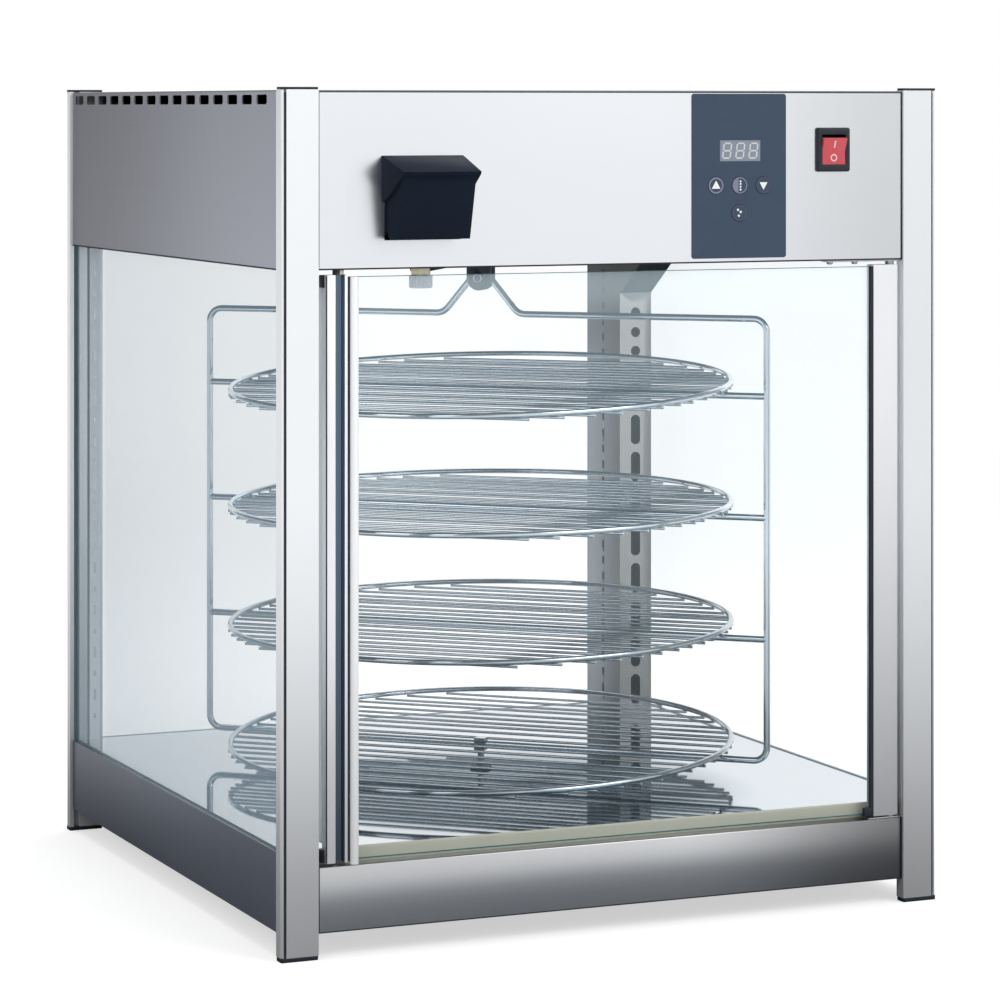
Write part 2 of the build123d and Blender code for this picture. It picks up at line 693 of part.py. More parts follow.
# Fill scoop: a black hopper that tilts out of the header about two pins at its foot. A hooded lip, wider
# than the body, overhangs its slanting front. Its cheeks are sectors about the pins, open along their arc.
wall = 2.2
body_half = 31.5
hood_half_back = 35.6
hood_half_front = 33.8
cheek_half = 33
cheek_radius = 60
cheek_end = 50
cheek_x = cheek_radius * cos(radians(cheek_end))
cheek_z = cheek_radius * sin(radians(cheek_end))
hood = [(2.3, 644.6), (-40.5, 632), (-38.8, 629.4), (-11, 611.5), (2.3, 607)]
nose = [(2.3, 643), (-36, 630), (-33.7, 622.7), (-21.8, 577.3), (-3.4, 577), (2.3, 584.2)]
hollow = [(3, 641.3), (-34, 630.4), (-31.4, 622.4), (-19.6, 579.5), (-4.4, 579.3), (3, 587)]
with BuildPart() as fill_scoop:
    with BuildSketch(Plane.YZ.offset(scoop_x - hood_half_back)):
        with BuildLine():
            Polyline(*[(front + y, z) for y, z in hood], close=True)
        make_face()
    extrude(amount=2 * hood_half_back)
    with BuildSketch(Plane.XY.offset(600)):
        with BuildLine():
            Polyline(
                (scoop_x - hood_half_back, front + 3), (scoop_x + hood_half_back, front + 3),
                (scoop_x + hood_half_front, front - scoop_reach - 0.1),
                (scoop_x - hood_half_front, front - scoop_reach - 0.1),
                close=True,
            )
        make_face()
    extrude(amount=50, mode=Mode.INTERSECT)
    with BuildSketch(Plane.YZ.offset(scoop_x - body_half)):
        with BuildLine():
            Polyline(*[(front + y, z) for y, z in nose], close=True)
        make_face()
    extrude(amount=2 * body_half)
    with BuildSketch(Plane.YZ.offset(scoop_x - body_half + wall)):
        with BuildLine():
            Polyline(*[(front + y, z) for y, z in hollow], close=True)
        make_face()
    extrude(amount=2 * (body_half - wall), mode=Mode.SUBTRACT)
    for x in (scoop_x - cheek_half, scoop_x + cheek_half - wall):
        with BuildSketch(Plane.YZ.offset(x)):
            with BuildLine():
                rim = CenterArc((scoop_axis_y, scoop_axis_z), cheek_radius, cheek_end, 97 - cheek_end)
                Polyline(rim @ 1, (front + 1.6, 585), (front + 5, 578.6), (front + 12, 577.6), rim @ 0)
            make_face()
        extrude(amount=wall)
    with BuildSketch(Plane.YZ.offset(scoop_x - cheek_half)):
        with BuildLine():
            Polyline(
                (scoop_axis_y + cheek_x, scoop_axis_z + cheek_z),
                (scoop_axis_y + cheek_x - 2.8, scoop_axis_z + cheek_z),
                (scoop_axis_y + 9.5, scoop_axis_z + 14),
                (scoop_axis_y + 12.3, scoop_axis_z + 14),
                close=True,
            )
        make_face()
    extrude(amount=2 * cheek_half)
    for x in (scoop_x - cheek_half - 3.4, scoop_x + cheek_half - 0.2):
        with BuildSketch(Plane.YZ.offset(x)):
            with Locations((scoop_axis_y, scoop_axis_z)):
                Circle(1.5)
        extrude(amount=3.6)
save(fill_scoop, "fill_scoop")

# Fill frame: the moulded frame behind the fascia that carries the scoop's pins in two ears
with BuildPart() as fill_frame:
    box(scoop_x - 43, scoop_x + 43, web_front + sheet, front + 5.6, 568, 652)
    box(scoop_x - 34, scoop_x + 34, web_front + sheet, front + 5.6, 575, 643.5, mode=Mode.SUBTRACT)
    for x in (scoop_x - cheek_half - 4, scoop_x + cheek_half + 0.6):
        with BuildSketch(Plane.YZ.offset(x)):
            with Locations((scoop_axis_y, scoop_axis_z)):
                RegularPolygon(4.5, 8)
            with Locations((front + 5.8, scoop_axis_z)):
                Rectangle(4.2, 8)
        extrude(amount=3.4)
    with BuildSketch(Plane.YZ.offset(scoop_x - 50)):
        with Locations((scoop_axis_y, scoop_axis_z)):
            RegularPolygon(1.5 + run_fit, 12, major_radius=False)
    extrude(amount=100, mode=Mode.SUBTRACT)
save(fill_frame, "fill_frame")

# Control overlay: a thin plate on the fascia with a display window and four round key holes
overlay_front = web_front - 1
with BuildPart() as control_overlay:
    with BuildSketch(Plane.XZ.offset(-overlay_front)):
        with Locations((overlay_x, overlay_z)):
            Rectangle(88.5, 138.5)
        chamfer(vertices(), 1.5)
        with Locations((display_x, display_z)):
            Rectangle(38.8, 18.4, mode=Mode.SUBTRACT)
        with Locations(*key_places.values()):
            RegularPolygon(7.4, 16, mode=Mode.SUBTRACT)
    extrude(amount=-1)
save(control_overlay, "control_overlay")

for name, (x, z) in key_places.items():
    with BuildPart() as key:
        with BuildSketch(Plane.XZ.offset(-(overlay_front - 0.5))):
            with Locations((x, z)):
                RegularPolygon(7.1, 16)
        extrude(amount=-2.1)
        with BuildSketch(Plane.XZ.offset(-(web_front + 0.1))):
            with Locations((x, z)):
                Rectangle(15, 15)
        extrude(amount=-2.3)
    save(key, name)

# Control board: behind the overlay on four spacers, with the display in its window and a switch
# behind each key
board_front = front + 10
with BuildPart() as control_board:
    box(overlay_x - 40, overlay_x + 40, board_front, board_front + 1.6, 567, 684.5)
    for x in (overlay_x - 38.2, overlay_x + 38.2):
        for z in (569, 682.5):
            box(x - 1.8, x + 1.8, web_front + sheet, board_front, z - 1.8, z + 1.8)
    box(
        display_x - 19.2, display_x + 19.2, overlay_front + 0.4, board_front,
        display_z - 9, display_z + 9,
    )
    for x, z in key_places.values():
        box(x - 3, x + 3, web_front + 3.1, board_front, z - 3, z + 3)
save(control_board, "control_board")

# Power switch: a black body with a bezel proud of the fascia, and a red rocker on two pins
bezel_proud = 3.5
rocker_y = front + 6
rocker_half_x = 11.1
with BuildPart() as switch_body:
    with BuildSketch(Plane.XZ.offset(-web_front)):
        with Locations((switch_x, switch_z)):
            Rectangle(31.5, 37.5)
        chamfer(vertices(), 1.2)
    extrude(amount=bezel_proud)
    chamfer(switch_body.faces().sort_by(Axis.Y)[0].edges(), 1)
    box(switch_x - 13.5, switch_x + 13.5, web_front, front + 27, switch_z - 15.5, switch_z + 15.5)
    box(
        switch_x - 11.4, switch_x + 11.4, front - 2, front + 16, switch_z - 12.8, switch_z + 12.8,
        mode=Mode.SUBTRACT,
    )
    with BuildSketch(Plane.YZ.offset(switch_x - 12.8)):
        with Locations((rocker_y, switch_z)):
            RegularPolygon(1.5 + run_fit, 12, major_radius=False)
    extrude(amount=25.6, mode=Mode.SUBTRACT)
    with Locations((switch_x, front + 27, switch_z - 8), (switch_x, front + 27, switch_z + 8)):
        Box(12, 14, 0.8)
save(switch_body, "switch_body")

# The rocker rests with its lower half pressed in: its two faces lean ten degrees about the pins
rocker_lean = 10
rocker_up = Plane(
    origin=(switch_x - rocker_half_x, rocker_y, switch_z),
    x_dir=(0, cos(radians(rocker_lean)), sin(radians(rocker_lean))),
    z_dir=(1, 0, 0),
)
with BuildPart() as rocker:
    with BuildSketch(rocker_up):
        with BuildLine():
            Polyline(
                (-8.6, 11.4), (-6.4, 0), (-8.6, -11.4), (-4, -11.2), (4, -5), (4, 5), (-4, 11.2),
                close=True,
            )
        make_face()
    extrude(amount=2 * rocker_half_x)
    with BuildSketch(Plane.YZ.offset(switch_x - 12.6)):
        with Locations((rocker_y, switch_z)):
            Circle(1.5)
    extrude(amount=25.2)
save(rocker, "rocker")

# Drain valve under the water pan: a brass body, a clear knurled cap and a black quarter-turn lever
valve_top = pan_top + 6
stem_z = 549.6
with BuildPart() as drain_valve:
    with BuildSketch(Plane.XY.offset(544.4)):
        with Locations((valve_x, valve_y)):
            RegularPolygon(8.6, 6)
    extrude(amount=header_bottom + sheet - 544.4)
    with BuildSketch(Plane.XY.offset(539)):
        with Locations((valve_x, valve_y)):
            RegularPolygon(5, 12)
    extrude(amount=valve_top - 539)
    with BuildSketch(Plane.XZ.offset(-(valve_y + 6))):
        with Locations((valve_x, stem_z)):
            Circle(2.5)
    extrude(amount=-9.4)
save(drain_valve, "drain_valve")

with BuildPart() as drain_cap:
    with BuildSketch(Plane.XY.offset(533.8)):
        with Locations((valve_x, valve_y)):
            RegularPolygon(9.8, 16)
    extrude(amount=10.6)
    with BuildSketch(Plane.XY.offset(539)):
        with Locations((valve_x, valve_y)):
            RegularPolygon(5, 12)
    extrude(amount=6, mode=Mode.SUBTRACT)
save(drain_cap, "drain_cap")

lever_y = valve_y + 10.2
with BuildPart() as drain_lever:
    with BuildSketch(Plane.XZ.offset(-lever_y)):
        with BuildLine():
            Polyline(
                (valve_x, stem_z + 4), (valve_x + 12, stem_z + 3.6), (valve_x + 32, stem_z + 3.4),
                (valve_x + 32, stem_z + 0.6), (valve_x + 12, stem_z - 2.6), (valve_x, stem_z - 4),
                close=True,
            )
        make_face()
        with Locations((valve_x, stem_z)):
            RegularPolygon(4.2, 12)
            RegularPolygon(2.5 + run_fit, 12, major_radius=False, mode=Mode.SUBTRACT)
    extrude(amount=-4)
save(drain_lever, "drain_lever")

# Water pan over the ceiling pan, under the scoop
with BuildPart() as water_pan:
    box(-236, -114, front + 8, front + 150, pan_top, 572)
    offset(amount=-sheet, openings=water_pan.faces().sort_by(Axis.Z)[-1], kind=Kind.INTERSECTION)
    with BuildSketch(Plane.XY.offset(pan_top)):
        with Locations((valve_x, valve_y)):
            RegularPolygon(5, 12)
    extrude(amount=sheet, mode=Mode.SUBTRACT)
save(water_pan, "water_pan")

# Heaters: a bent rod in the water pan and one in the head of the air duct
air_x = (duct_left + 9, duct_left + 25)
air_back = duct_back - 12
steam_back = front + 134
steam_route = [
    (-222, steam_back, 600), (-222, steam_back, 564), (-222, front + 84, 564),
    (-128, front + 84, 564), (-128, steam_back, 564), (-128, steam_back, 600),
]
air_route = [
    (air_x[0], air_back, 578), (air_x[0], air_back, 538), (air_x[0], duct_front - 36, 538),
    (air_x[1], duct_front - 36, 538), (air_x[1], air_back, 538), (air_x[1], air_back, 578),
]
with BuildPart() as heaters:
    for route in (steam_route, air_route):
        with BuildLine() as heater_line:
            Polyline(*route)
        with BuildSketch(Plane(origin=route[0], x_dir=(1, 0, 0), z_dir=(0, 0, -1))):
            RegularPolygon(3.5, 8, rotation=22.5)
        sweep(transition=Transition.RIGHT)
save(heaters, "heaters")

# Fan housing: a drum with an outlet box over the duct and the motor can on top. It draws in through the
# ceiling's slots and blows down into the duct.
fan_floor = pan_top
fan_height = 40
outlet_end = duct_left + duct_width
outlet_middle = (outlet_y0 + outlet_y1) / 2
with BuildPart() as fan_housing:
    with BuildSketch(Plane.XY.offset(fan_floor)):
        with Locations((fan_x, fan_y)):
            RegularPolygon(fan_radius, 12)
        with Locations(((fan_x + outlet_end) / 2, outlet_middle - 2)):
            Rectangle(outlet_end - fan_x, outlet_y1 - outlet_y0 + 6)
    extrude(amount=fan_height)
    with BuildSketch(Plane.XY.offset(fan_floor + sheet)):
        with Locations((fan_x, fan_y)):
            RegularPolygon(fan_radius - sheet, 12)
        with Locations(((fan_x + outlet_end) / 2, outlet_middle - 2)):
            Rectangle(outlet_end - fan_x - 2 * sheet, outlet_y1 - outlet_y0 + 6 - 2 * sheet)
    extrude(amount=fan_height - 2 * sheet, mode=Mode.SUBTRACT)
    with BuildSketch(Plane.XY.offset(fan_floor)):
        with Locations((fan_x, fan_y)):
            RegularPolygon(28, 8)
        with Locations((duct_left + duct_width / 2, outlet_middle)):
            Rectangle(duct_width - 4, outlet_y1 - outlet_y0 - 4)
    extrude(amount=sheet, mode=Mode.SUBTRACT)
    with BuildSketch(Plane.XY.offset(fan_floor + fan_height)):
        with Locations((fan_x, fan_y)):
            RegularPolygon(25, 12)
    extrude(amount=32)
    with BuildSketch(Plane.XY.offset(fan_floor + fan_height)):
        with Locations((fan_x, fan_y)):
            Circle(3)
    extrude(amount=-16)
save(fan_housing, "fan_housing")

# Fan impeller: blades round the edge of a disc on the motor's shaft
blade_count = 8
with BuildPart() as fan_impeller:
    with BuildSketch(Plane.XY.offset(fan_floor + 28)):
        with Locations((fan_x, fan_y)):
            RegularPolygon(42, 12)
    extrude(amount=2)
    with BuildSketch(Plane.XY.offset(fan_floor + 6)):
        with Locations((fan_x, fan_y)):
            with PolarLocations(36, blade_count):
                Rectangle(9, 1.4, rotation=35)
    extrude(amount=22)
    with BuildSketch(Plane.XY.offset(fan_floor + 22)):
        with Locations((fan_x, fan_y)):
            RegularPolygon(8, 6)
    extrude(amount=6)
    with BuildSketch(Plane.XY.offset(fan_floor + 21)):
        with Locations((fan_x, fan_y)):
            RegularPolygon(3 + run_fit, 12, major_radius=False)
    extrude(amount=12, mode=Mode.SUBTRACT)
save(fan_impeller, "fan_impeller")

# Cable gland in the rear panel: the inlet for the mains lead
gland_length = gland_reach + recess + 12
with BuildPart() as cable_gland:
    for start, radius, sides, length in (
        (web_back, 12, 6, 5), (web_back, 8.4, 12, gland_reach + recess), (web_back, 7.9, 12, -12),
    ):
        with BuildSketch(Plane.XZ.offset(-start)):
            with Locations((gland_x, gland_z)):
                RegularPolygon(radius, sides)
        extrude(amount=-length)
    with BuildSketch(Plane.XZ.offset(-(back + gland_reach))):
        with Locations((gland_x, gland_z)):
            RegularPolygon(4, 12, major_radius=False)
    extrude(amount=gland_length, mode=Mode.SUBTRACT)
save(cable_gland, "cable_gland")
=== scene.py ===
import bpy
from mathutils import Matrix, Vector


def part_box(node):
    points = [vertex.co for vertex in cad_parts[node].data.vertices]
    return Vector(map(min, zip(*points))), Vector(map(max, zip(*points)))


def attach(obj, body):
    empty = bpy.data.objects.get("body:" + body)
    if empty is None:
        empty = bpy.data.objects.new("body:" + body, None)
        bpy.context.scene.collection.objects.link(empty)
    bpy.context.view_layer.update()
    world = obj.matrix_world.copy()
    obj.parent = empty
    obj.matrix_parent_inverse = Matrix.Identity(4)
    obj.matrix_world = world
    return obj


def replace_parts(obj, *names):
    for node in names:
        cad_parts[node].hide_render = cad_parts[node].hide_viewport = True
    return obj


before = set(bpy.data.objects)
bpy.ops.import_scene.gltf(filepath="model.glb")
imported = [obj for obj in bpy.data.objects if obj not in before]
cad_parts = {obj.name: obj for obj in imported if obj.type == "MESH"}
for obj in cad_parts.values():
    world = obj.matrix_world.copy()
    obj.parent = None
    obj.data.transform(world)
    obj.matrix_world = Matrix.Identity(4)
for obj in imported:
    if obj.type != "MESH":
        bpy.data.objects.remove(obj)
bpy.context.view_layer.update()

import math
import random

import bmesh
import bpy
from mathutils import Matrix, Vector

# The studio: a camera a few steps off the left front corner, a pale floor that runs up to a white wall,
# and soft lamps above. Metal and glass mirror the wall and a bright screen to the right of the camera,
# and darkness to the left. Nothing here belongs to the case.
mm = 0.001
post_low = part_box("corner_post_front_left")[0]
case_front = post_low.y
case_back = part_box("corner_post_rear_left")[1].y
case_middle = (case_front + case_back) / 2
case_side = -post_low.x

camera_place = (-1.2976, case_front - 2.7522, 0.684)
camera_heading = math.radians(-23.345)
lens_length = 131.8
lens_shift = -0.3932
camera_data = bpy.data.cameras.new("camera")
camera_data.sensor_width = 36
camera_data.lens = lens_length
camera_data.shift_y = lens_shift
camera = bpy.data.objects.new("camera", camera_data)
camera.location = camera_place
camera.rotation_euler = (math.radians(90), 0, camera_heading)
bpy.context.scene.collection.objects.link(camera)
bpy.context.scene.camera = camera
bpy.context.scene.view_settings.view_transform = "Standard"


class Term:
    """An output in a finish's node tree. Sums and products of terms add Math nodes."""

    def __init__(self, recipe, socket):
        self.recipe = recipe
        self.socket = socket

    def maths(self, operation, first, second):
        return self.recipe.add("ShaderNodeMath", {"operation": operation}, {0: first, 1: second})

    def __add__(self, other):
        return self.maths("ADD", self, other)

    def __radd__(self, other):
        return self.maths("ADD", other, self)

    def __sub__(self, other):
        return self.maths("SUBTRACT", self, other)

    def __rsub__(self, other):
        return self.maths("SUBTRACT", other, self)

    def __mul__(self, other):
        return self.maths("MULTIPLY", self, other)

    def __rmul__(self, other):
        return self.maths("MULTIPLY", other, self)


class Recipe:
    """The node tree of one finish."""

    def __init__(self, tree):
        self.tree = tree
        self.tree.nodes.clear()

    def add(self, kind, settings=None, inputs=None, output=0):
        """A node of that type: its settings first, then the values or terms of its inputs."""
        node = self.tree.nodes.new(kind)
        for name, value in (settings or {}).items():
            setattr(node, name, value)
        for key, value in (inputs or {}).items():
            if isinstance(value, Term):
                self.tree.links.new(value.socket, node.inputs[key])
            else:
                node.inputs[key].default_value = value
        return Term(self, node.outputs[output] if node.outputs else None)

    def parts(self, vector):
        """The x, y and z of a vector."""
        node = self.tree.nodes.new("ShaderNodeSeparateXYZ")
        self.tree.links.new(vector.socket, node.inputs[0])
        return [Term(self, output) for output in node.outputs]

    def fade(self, value, low, high):
        """Runs softly from 0 to 1 as the value goes from low to high."""
        span = {"Value": value, "From Min": low, "From Max": high}
        return self.add("ShaderNodeMapRange", {"interpolation_type": "SMOOTHSTEP"}, span)

    def blend(self, share, first, second):
        """A colour that runs from the first to the second as share goes from 0 to 1."""
        colours = {"data_type": "RGBA"}
        return self.add("ShaderNodeMix", colours, {0: share, 6: first, 7: second}, output=2)

    def dimmed(self, tone, place, falls, shade=(0, 0, 0), middle=(0, 0)):
        """Turns a colour to a shade: each fall gives an axis, where it starts and ends on it, and the
        share of the colour that is left. Axis R is the square of the distance from the middle."""
        if not falls:
            return tone
        x, y, z = self.parts(place)
        across, along = x - middle[0], y - middle[1]
        axes = {"X": x, "Y": y, "Z": z, "R": across * across + along * along}
        light = 1.0
        for axis, start, end, left in falls:
            light = light * (1 - (1 - left) * self.fade(axes[axis], start, end))
        return self.blend(light, (*shade, 1), tone)


def new_finish(name):
    """An empty finish and its recipe."""
    material = bpy.data.materials.new(name)
    material.use_nodes = True
    return material, Recipe(material.node_tree)


white = (1, 1, 1, 1)
floor_finish, recipe = new_finish("studio_floor")
seen = (
    recipe.add("ShaderNodeLightPath", output="Is Camera Ray")
    + recipe.add("ShaderNodeLightPath", output="Is Transmission Ray")
)
place = recipe.add("ShaderNodeTexCoord", output="Object")
distance = recipe.add("ShaderNodeVectorMath", {"operation": "LENGTH"}, {0: place}, output="Value")
away = recipe.fade(distance, 1.0, 4.0)
clearing = recipe.fade(distance, 0.45, 1.2)
mirrored = recipe.add("ShaderNodeLightPath", output="Is Glossy Ray")
paper_grey = (0.52, 0.52, 0.52, 1)
mirrored_grey = (0.2, 0.21, 0.23, 1)
tone = recipe.blend(mirrored, paper_grey, mirrored_grey)
paper = recipe.add("ShaderNodeBsdfDiffuse", {}, {"Color": tone})
paper_light = 0.58 * seen + 0.7 * mirrored * clearing
glow = recipe.add("ShaderNodeEmission", {}, {"Color": white, "Strength": paper_light})
lit_paper = recipe.add("ShaderNodeAddShader", {}, {0: paper, 1: glow})
backdrop = recipe.add("ShaderNodeEmission", {}, {"Color": white, "Strength": 1.0})
floor_mix = recipe.add("ShaderNodeMixShader", {}, {0: seen * away, 1: lit_paper, 2: backdrop})
recipe.add("ShaderNodeOutputMaterial", {}, {"Surface": floor_mix})
floor_reach = 60
bm = bmesh.new()
bmesh.ops.create_grid(bm, x_segments=1, y_segments=1, size=floor_reach)
floor_mesh = bpy.data.meshes.new("studio_floor")
bm.to_mesh(floor_mesh)
bm.free()
floor_mesh.materials.append(floor_finish)
floor = bpy.data.objects.new("studio_floor", floor_mesh)
bpy.context.scene.collection.objects.link(floor)

world = bpy.data.worlds.new("studio")
bpy.context.scene.world = world
world.use_nodes = True
recipe = Recipe(world.node_tree)
seen, mirrored, through = [
    recipe.add("ShaderNodeLightPath", output=kind)
    for kind in ("Is Camera Ray", "Is Glossy Ray", "Is Transmission Ray")
]
right, back, up = recipe.parts(recipe.add("ShaderNodeTexCoord", output="Generated"))
aim_x, aim_y = 0.396, 0.918
wall = recipe.fade(aim_x * right + aim_y * back, 0.70, 0.88)
screen = recipe.fade(aim_x * right - aim_y * back, 0.50, 0.85)
right_wall = recipe.fade(right, 0.2, 0.9)
darkness = 0.07
room = darkness + 0.93 * wall + 0.88 * screen + 0.25 * right_wall
soft_light = 0.62
plain = seen + through
lit = plain + mirrored * room + soft_light * (1 - plain - mirrored)
sky = recipe.add("ShaderNodeBackground", {}, {"Color": white, "Strength": lit})
recipe.add("ShaderNodeOutputWorld", {}, {"Surface": sky})

rack_middle = Vector((0, 0, 0.35))
for name, place, size, power in (
    ("key_lamp", (1.6, -2.6, 2.6), 2.2, 60),
    ("fill_lamp", (-2.4, -1.8, 1.8), 2.0, 22),
    ("top_lamp", (0.0, 0.6, 3.0), 2.4, 45),
):
    lamp_data = bpy.data.lights.new(name, "AREA")
    lamp_data.size = size
    lamp_data.energy = power
    lamp = bpy.data.objects.new(name, lamp_data)
    lamp.location = place
    lamp.rotation_euler = (rack_middle - Vector(place)).to_track_quat("-Z", "Y").to_euler()
    bpy.context.scene.collection.objects.link(lamp)

# Corner posts: four hollow aluminium extrusions, sawn to length and anodised to a fine satin. A narrow
# groove sets off the lip on the outer edge, and the side glass stands in a slot in the inner face.
def plain_surface(name, colour, second, spread, roughness, metallic=0.0, grain=60, bump=0.05,
                  depth=0.0002, stretch=(1, 1, 1), uneven=0.12, falls=(), shade=(0, 0, 0),
                  middle=(0, 0), **constants):
    """A finish whose colour wanders between two tones in soft spots, with a fine grain over it.
    Its falls paint shade into the colour.
    """
    material, recipe = new_finish(name)
    place = recipe.add("ShaderNodeTexCoord", output="Object")
    drawn = recipe.add("ShaderNodeMapping", {}, {"Vector": place, "Scale": stretch})
    spots = recipe.add("ShaderNodeTexNoise", {}, {"Vector": place, "Scale": spread, "Detail": 3.0})
    fine = recipe.add("ShaderNodeTexNoise", {}, {"Vector": drawn, "Scale": grain, "Detail": 4.0})
    share = 0.65 * spots + 0.35 * fine
    tone = recipe.dimmed(recipe.blend(share, (*colour, 1), (*second, 1)), place, falls, shade, middle)
    relief = recipe.add("ShaderNodeBump", {}, {"Strength": bump, "Distance": depth, "Height": fine})
    inputs = {
        "Base Color": tone,
        "Roughness": roughness + uneven * (fine - 0.5),
        "Metallic": metallic,
        "Normal": relief,
        **constants,
    }
    body = recipe.add("ShaderNodeBsdfPrincipled", {}, inputs)
    recipe.add("ShaderNodeOutputMaterial", {}, {"Surface": body})
    return material


def dress(material, *names):
    """Gives CAD nodes their finish."""
    for name in names:
        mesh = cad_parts[name].data
        mesh.materials.clear()
        mesh.materials.append(material)


def finished(name, bm, body, slot, *materials, smooth=35):
    """Turns a bmesh into a piece that rides on a body, with edges under that many degrees smooth."""
    mesh = bpy.data.meshes.new(name)
    bm.to_mesh(mesh)
    bm.free()
    for material in materials:
        mesh.materials.append(material)
    mesh.shade_smooth()
    mesh.set_sharp_from_angle(angle=math.radians(smooth))
    made = bpy.data.objects.new(name, mesh)
    bpy.context.scene.collection.objects.link(made)
    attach(made, body)
    return made


weld_reach = 2e-6
flat_angle = math.radians(0.5)
sharp_angle = math.radians(30)


def node_copy(node):
    """A copy of a CAD node's mesh, its loose triangles merged into flat faces."""
    bm = bmesh.new()
    bm.from_mesh(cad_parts[node].data)
    bmesh.ops.remove_doubles(bm, verts=bm.verts, dist=weld_reach)
    bmesh.ops.dissolve_limit(bm, angle_limit=flat_angle, verts=bm.verts, edges=bm.edges)
    return bm


def round_edges(bm, edges, radius, segments, clamp=True):
    """Rounds edges in that many segments. With one segment it only breaks them."""
    bmesh.ops.bevel(
        bm, geom=edges, offset=radius, offset_type="OFFSET", segments=segments, profile=0.5,
        affect="EDGES", clamp_overlap=clamp, material=-1,
    )


def softened(name, node, radius, body, slot, material):
    """A copy of a CAD node with its sharp edges rounded, shown in the node's place."""
    bm = node_copy(node)
    sharp = [
        edge for edge in bm.edges
        if len(edge.link_faces) == 2 and edge.calc_face_angle() > sharp_angle
    ]
    round_edges(bm, sharp, radius, 2)
    made = finished(name, bm, body, slot, material)
    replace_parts(made, node)
    return made


def strips(name, body, material, *boxes):
    """Straight strips of seal, trim or painted shade between pairs of corners, in millimetres,
    edges broken.
    """
    bm = bmesh.new()
    for low, high in boxes:
        low, high = Vector(low) * mm, Vector(high) * mm
        block = bmesh.ops.create_cube(bm, size=1)["verts"]
        bmesh.ops.scale(bm, verts=block, vec=high - low)
        bmesh.ops.translate(bm, verts=block, vec=(low + high) / 2)
    round_edges(bm, bm.edges[:], 0.08 * mm, 1)
    return finished(name, bm, body, "seal", material)


extruded = {"grain": 900, "stretch": (1, 1, 0.05), "bump": 0.002, "uneven": 0.03}
# Painted shade: the posts' colour darkens toward their feet and toward the right side of the case.
foot_shade = ("Z", 0.40, 0.0, 0.48)
right_shade = ("X", -0.1, 0.28, 0.86)
satin_aluminium = plain_surface(
    "satin_aluminium", (0.91, 0.93, 0.95), (0.94, 0.96, 0.98), 3, 0.25, metallic=0.35,
    falls=[foot_shade, right_shade], **extruded,
)
black_plastic = plain_surface(
    "black_plastic", (0.008, 0.012, 0.019), (0.013, 0.018, 0.028), 40, 0.5, grain=1500, bump=0.12,
    **{"Specular IOR Level": 0.35},
)
posts = ["corner_post_front_left", "corner_post_front_right", "corner_post_rear_left",
         "corner_post_rear_right"]
dress(satin_aluminium, *posts)
softened("moulded_caps", "post_caps", 0.4 * mm, "case", "black_plastic", black_plastic)
softened("moulded_feet", "feet", 0.4 * mm, "case", "black_plastic", black_plastic)
# A dark rubber for the door gaskets and dark seams, also laid as strips of painted shade.
seal_rubber_and_shade = plain_surface(
    "seal_rubber_and_shade", (0.010, 0.013, 0.022), (0.022, 0.027, 0.040), 50, 0.62, grain=900, bump=0.15,
    **{"Specular IOR Level": 0.3},
)
side = case_side / mm
front = case_front / mm
back = case_back / mm
post_foot, post_head = 6, 696
groove_x = side - 2.85
groove_width = 1.7
# Dark strips laid in the posts' grooves are painted shade in the grooves.
groove_shade_face, groove_shade_bed = 0.7, 4
grooves = []
for way in (-1, 1):
    near, far = sorted((way * groove_x, way * (groove_x - groove_width)))
    grooves.append(((near, front + groove_shade_face, post_foot), (far, front + groove_shade_bed, post_head)))
    grooves.append(((near, back - groove_shade_bed, post_foot), (far, back - groove_shade_face, post_head)))
strips("post_groove_shade", "case", seal_rubber_and_shade, *grooves)


# Base: folded stainless panels between the posts, closed below by a cover sheet. Their faces are brushed
# along the panel.
def brushed_steel(name, colour, second, along, roughness=0.3, streak=0.3, metallic=1.0, falls=()):
    """Rolled stainless: fine streaks along one axis, and soft wide clouds. Its falls paint shade."""
    material, recipe = new_finish(name)
    place = recipe.add("ShaderNodeTexCoord", output="Object")
    stretch = [1.0, 1.0, 1.0]
    stretch["XYZ".index(along)] = 0.004
    drawn = recipe.add("ShaderNodeMapping", {}, {"Vector": place, "Scale": stretch})
    streaks = recipe.add("ShaderNodeTexNoise", {}, {"Vector": drawn, "Scale": 2600, "Detail": 3.0})
    clouds = recipe.add("ShaderNodeTexNoise", {}, {"Vector": place, "Scale": 5, "Detail": 2.0})
    share = streak * streaks + (1 - streak) * clouds
    tone = recipe.dimmed(recipe.blend(share, (*colour, 1), (*second, 1)), place, falls)
    relief = recipe.add("ShaderNodeBump", {}, {"Strength": 0.04, "Distance": 0.0001, "Height": streaks})
    inputs = {
        "Base Color": tone,
        "Roughness": roughness + 0.1 * (streaks - 0.5),
        "Metallic": metallic,
        "Normal": relief,
    }
    body = recipe.add("ShaderNodeBsdfPrincipled", {}, inputs)
    recipe.add("ShaderNodeOutputMaterial", {}, {"Surface": body})
    return material


# Painted shade: the base steel darkens toward the right of the case, and the side panels use a darker,
# shaded copy of it that darkens further toward the back.
base_steel_along = brushed_steel(
    "base_steel_along", (0.54, 0.55, 0.56), (0.64, 0.65, 0.66), "X", falls=[("X", 0.05, 0.28, 0.30)],
)
shaded_base_steel_across = brushed_steel(
    "shaded_base_steel_across", (0.25, 0.27, 0.32), (0.31, 0.33, 0.39), "Y",
    falls=[("Y", case_middle - 0.1, case_back, 0.5)],
)
dull_steel = plain_surface(
    "dull_steel", (0.42, 0.43, 0.44), (0.55, 0.56, 0.57), 6, 0.42, metallic=1.0, grain=500,
)
dress(base_steel_along, "base_rear")
softened("front_base_panel", "base_front", 0.5 * mm, "case", "case_steel", base_steel_along)
dress(shaded_base_steel_across, "base_left", "base_right")
dress(dull_steel, "base_cover")
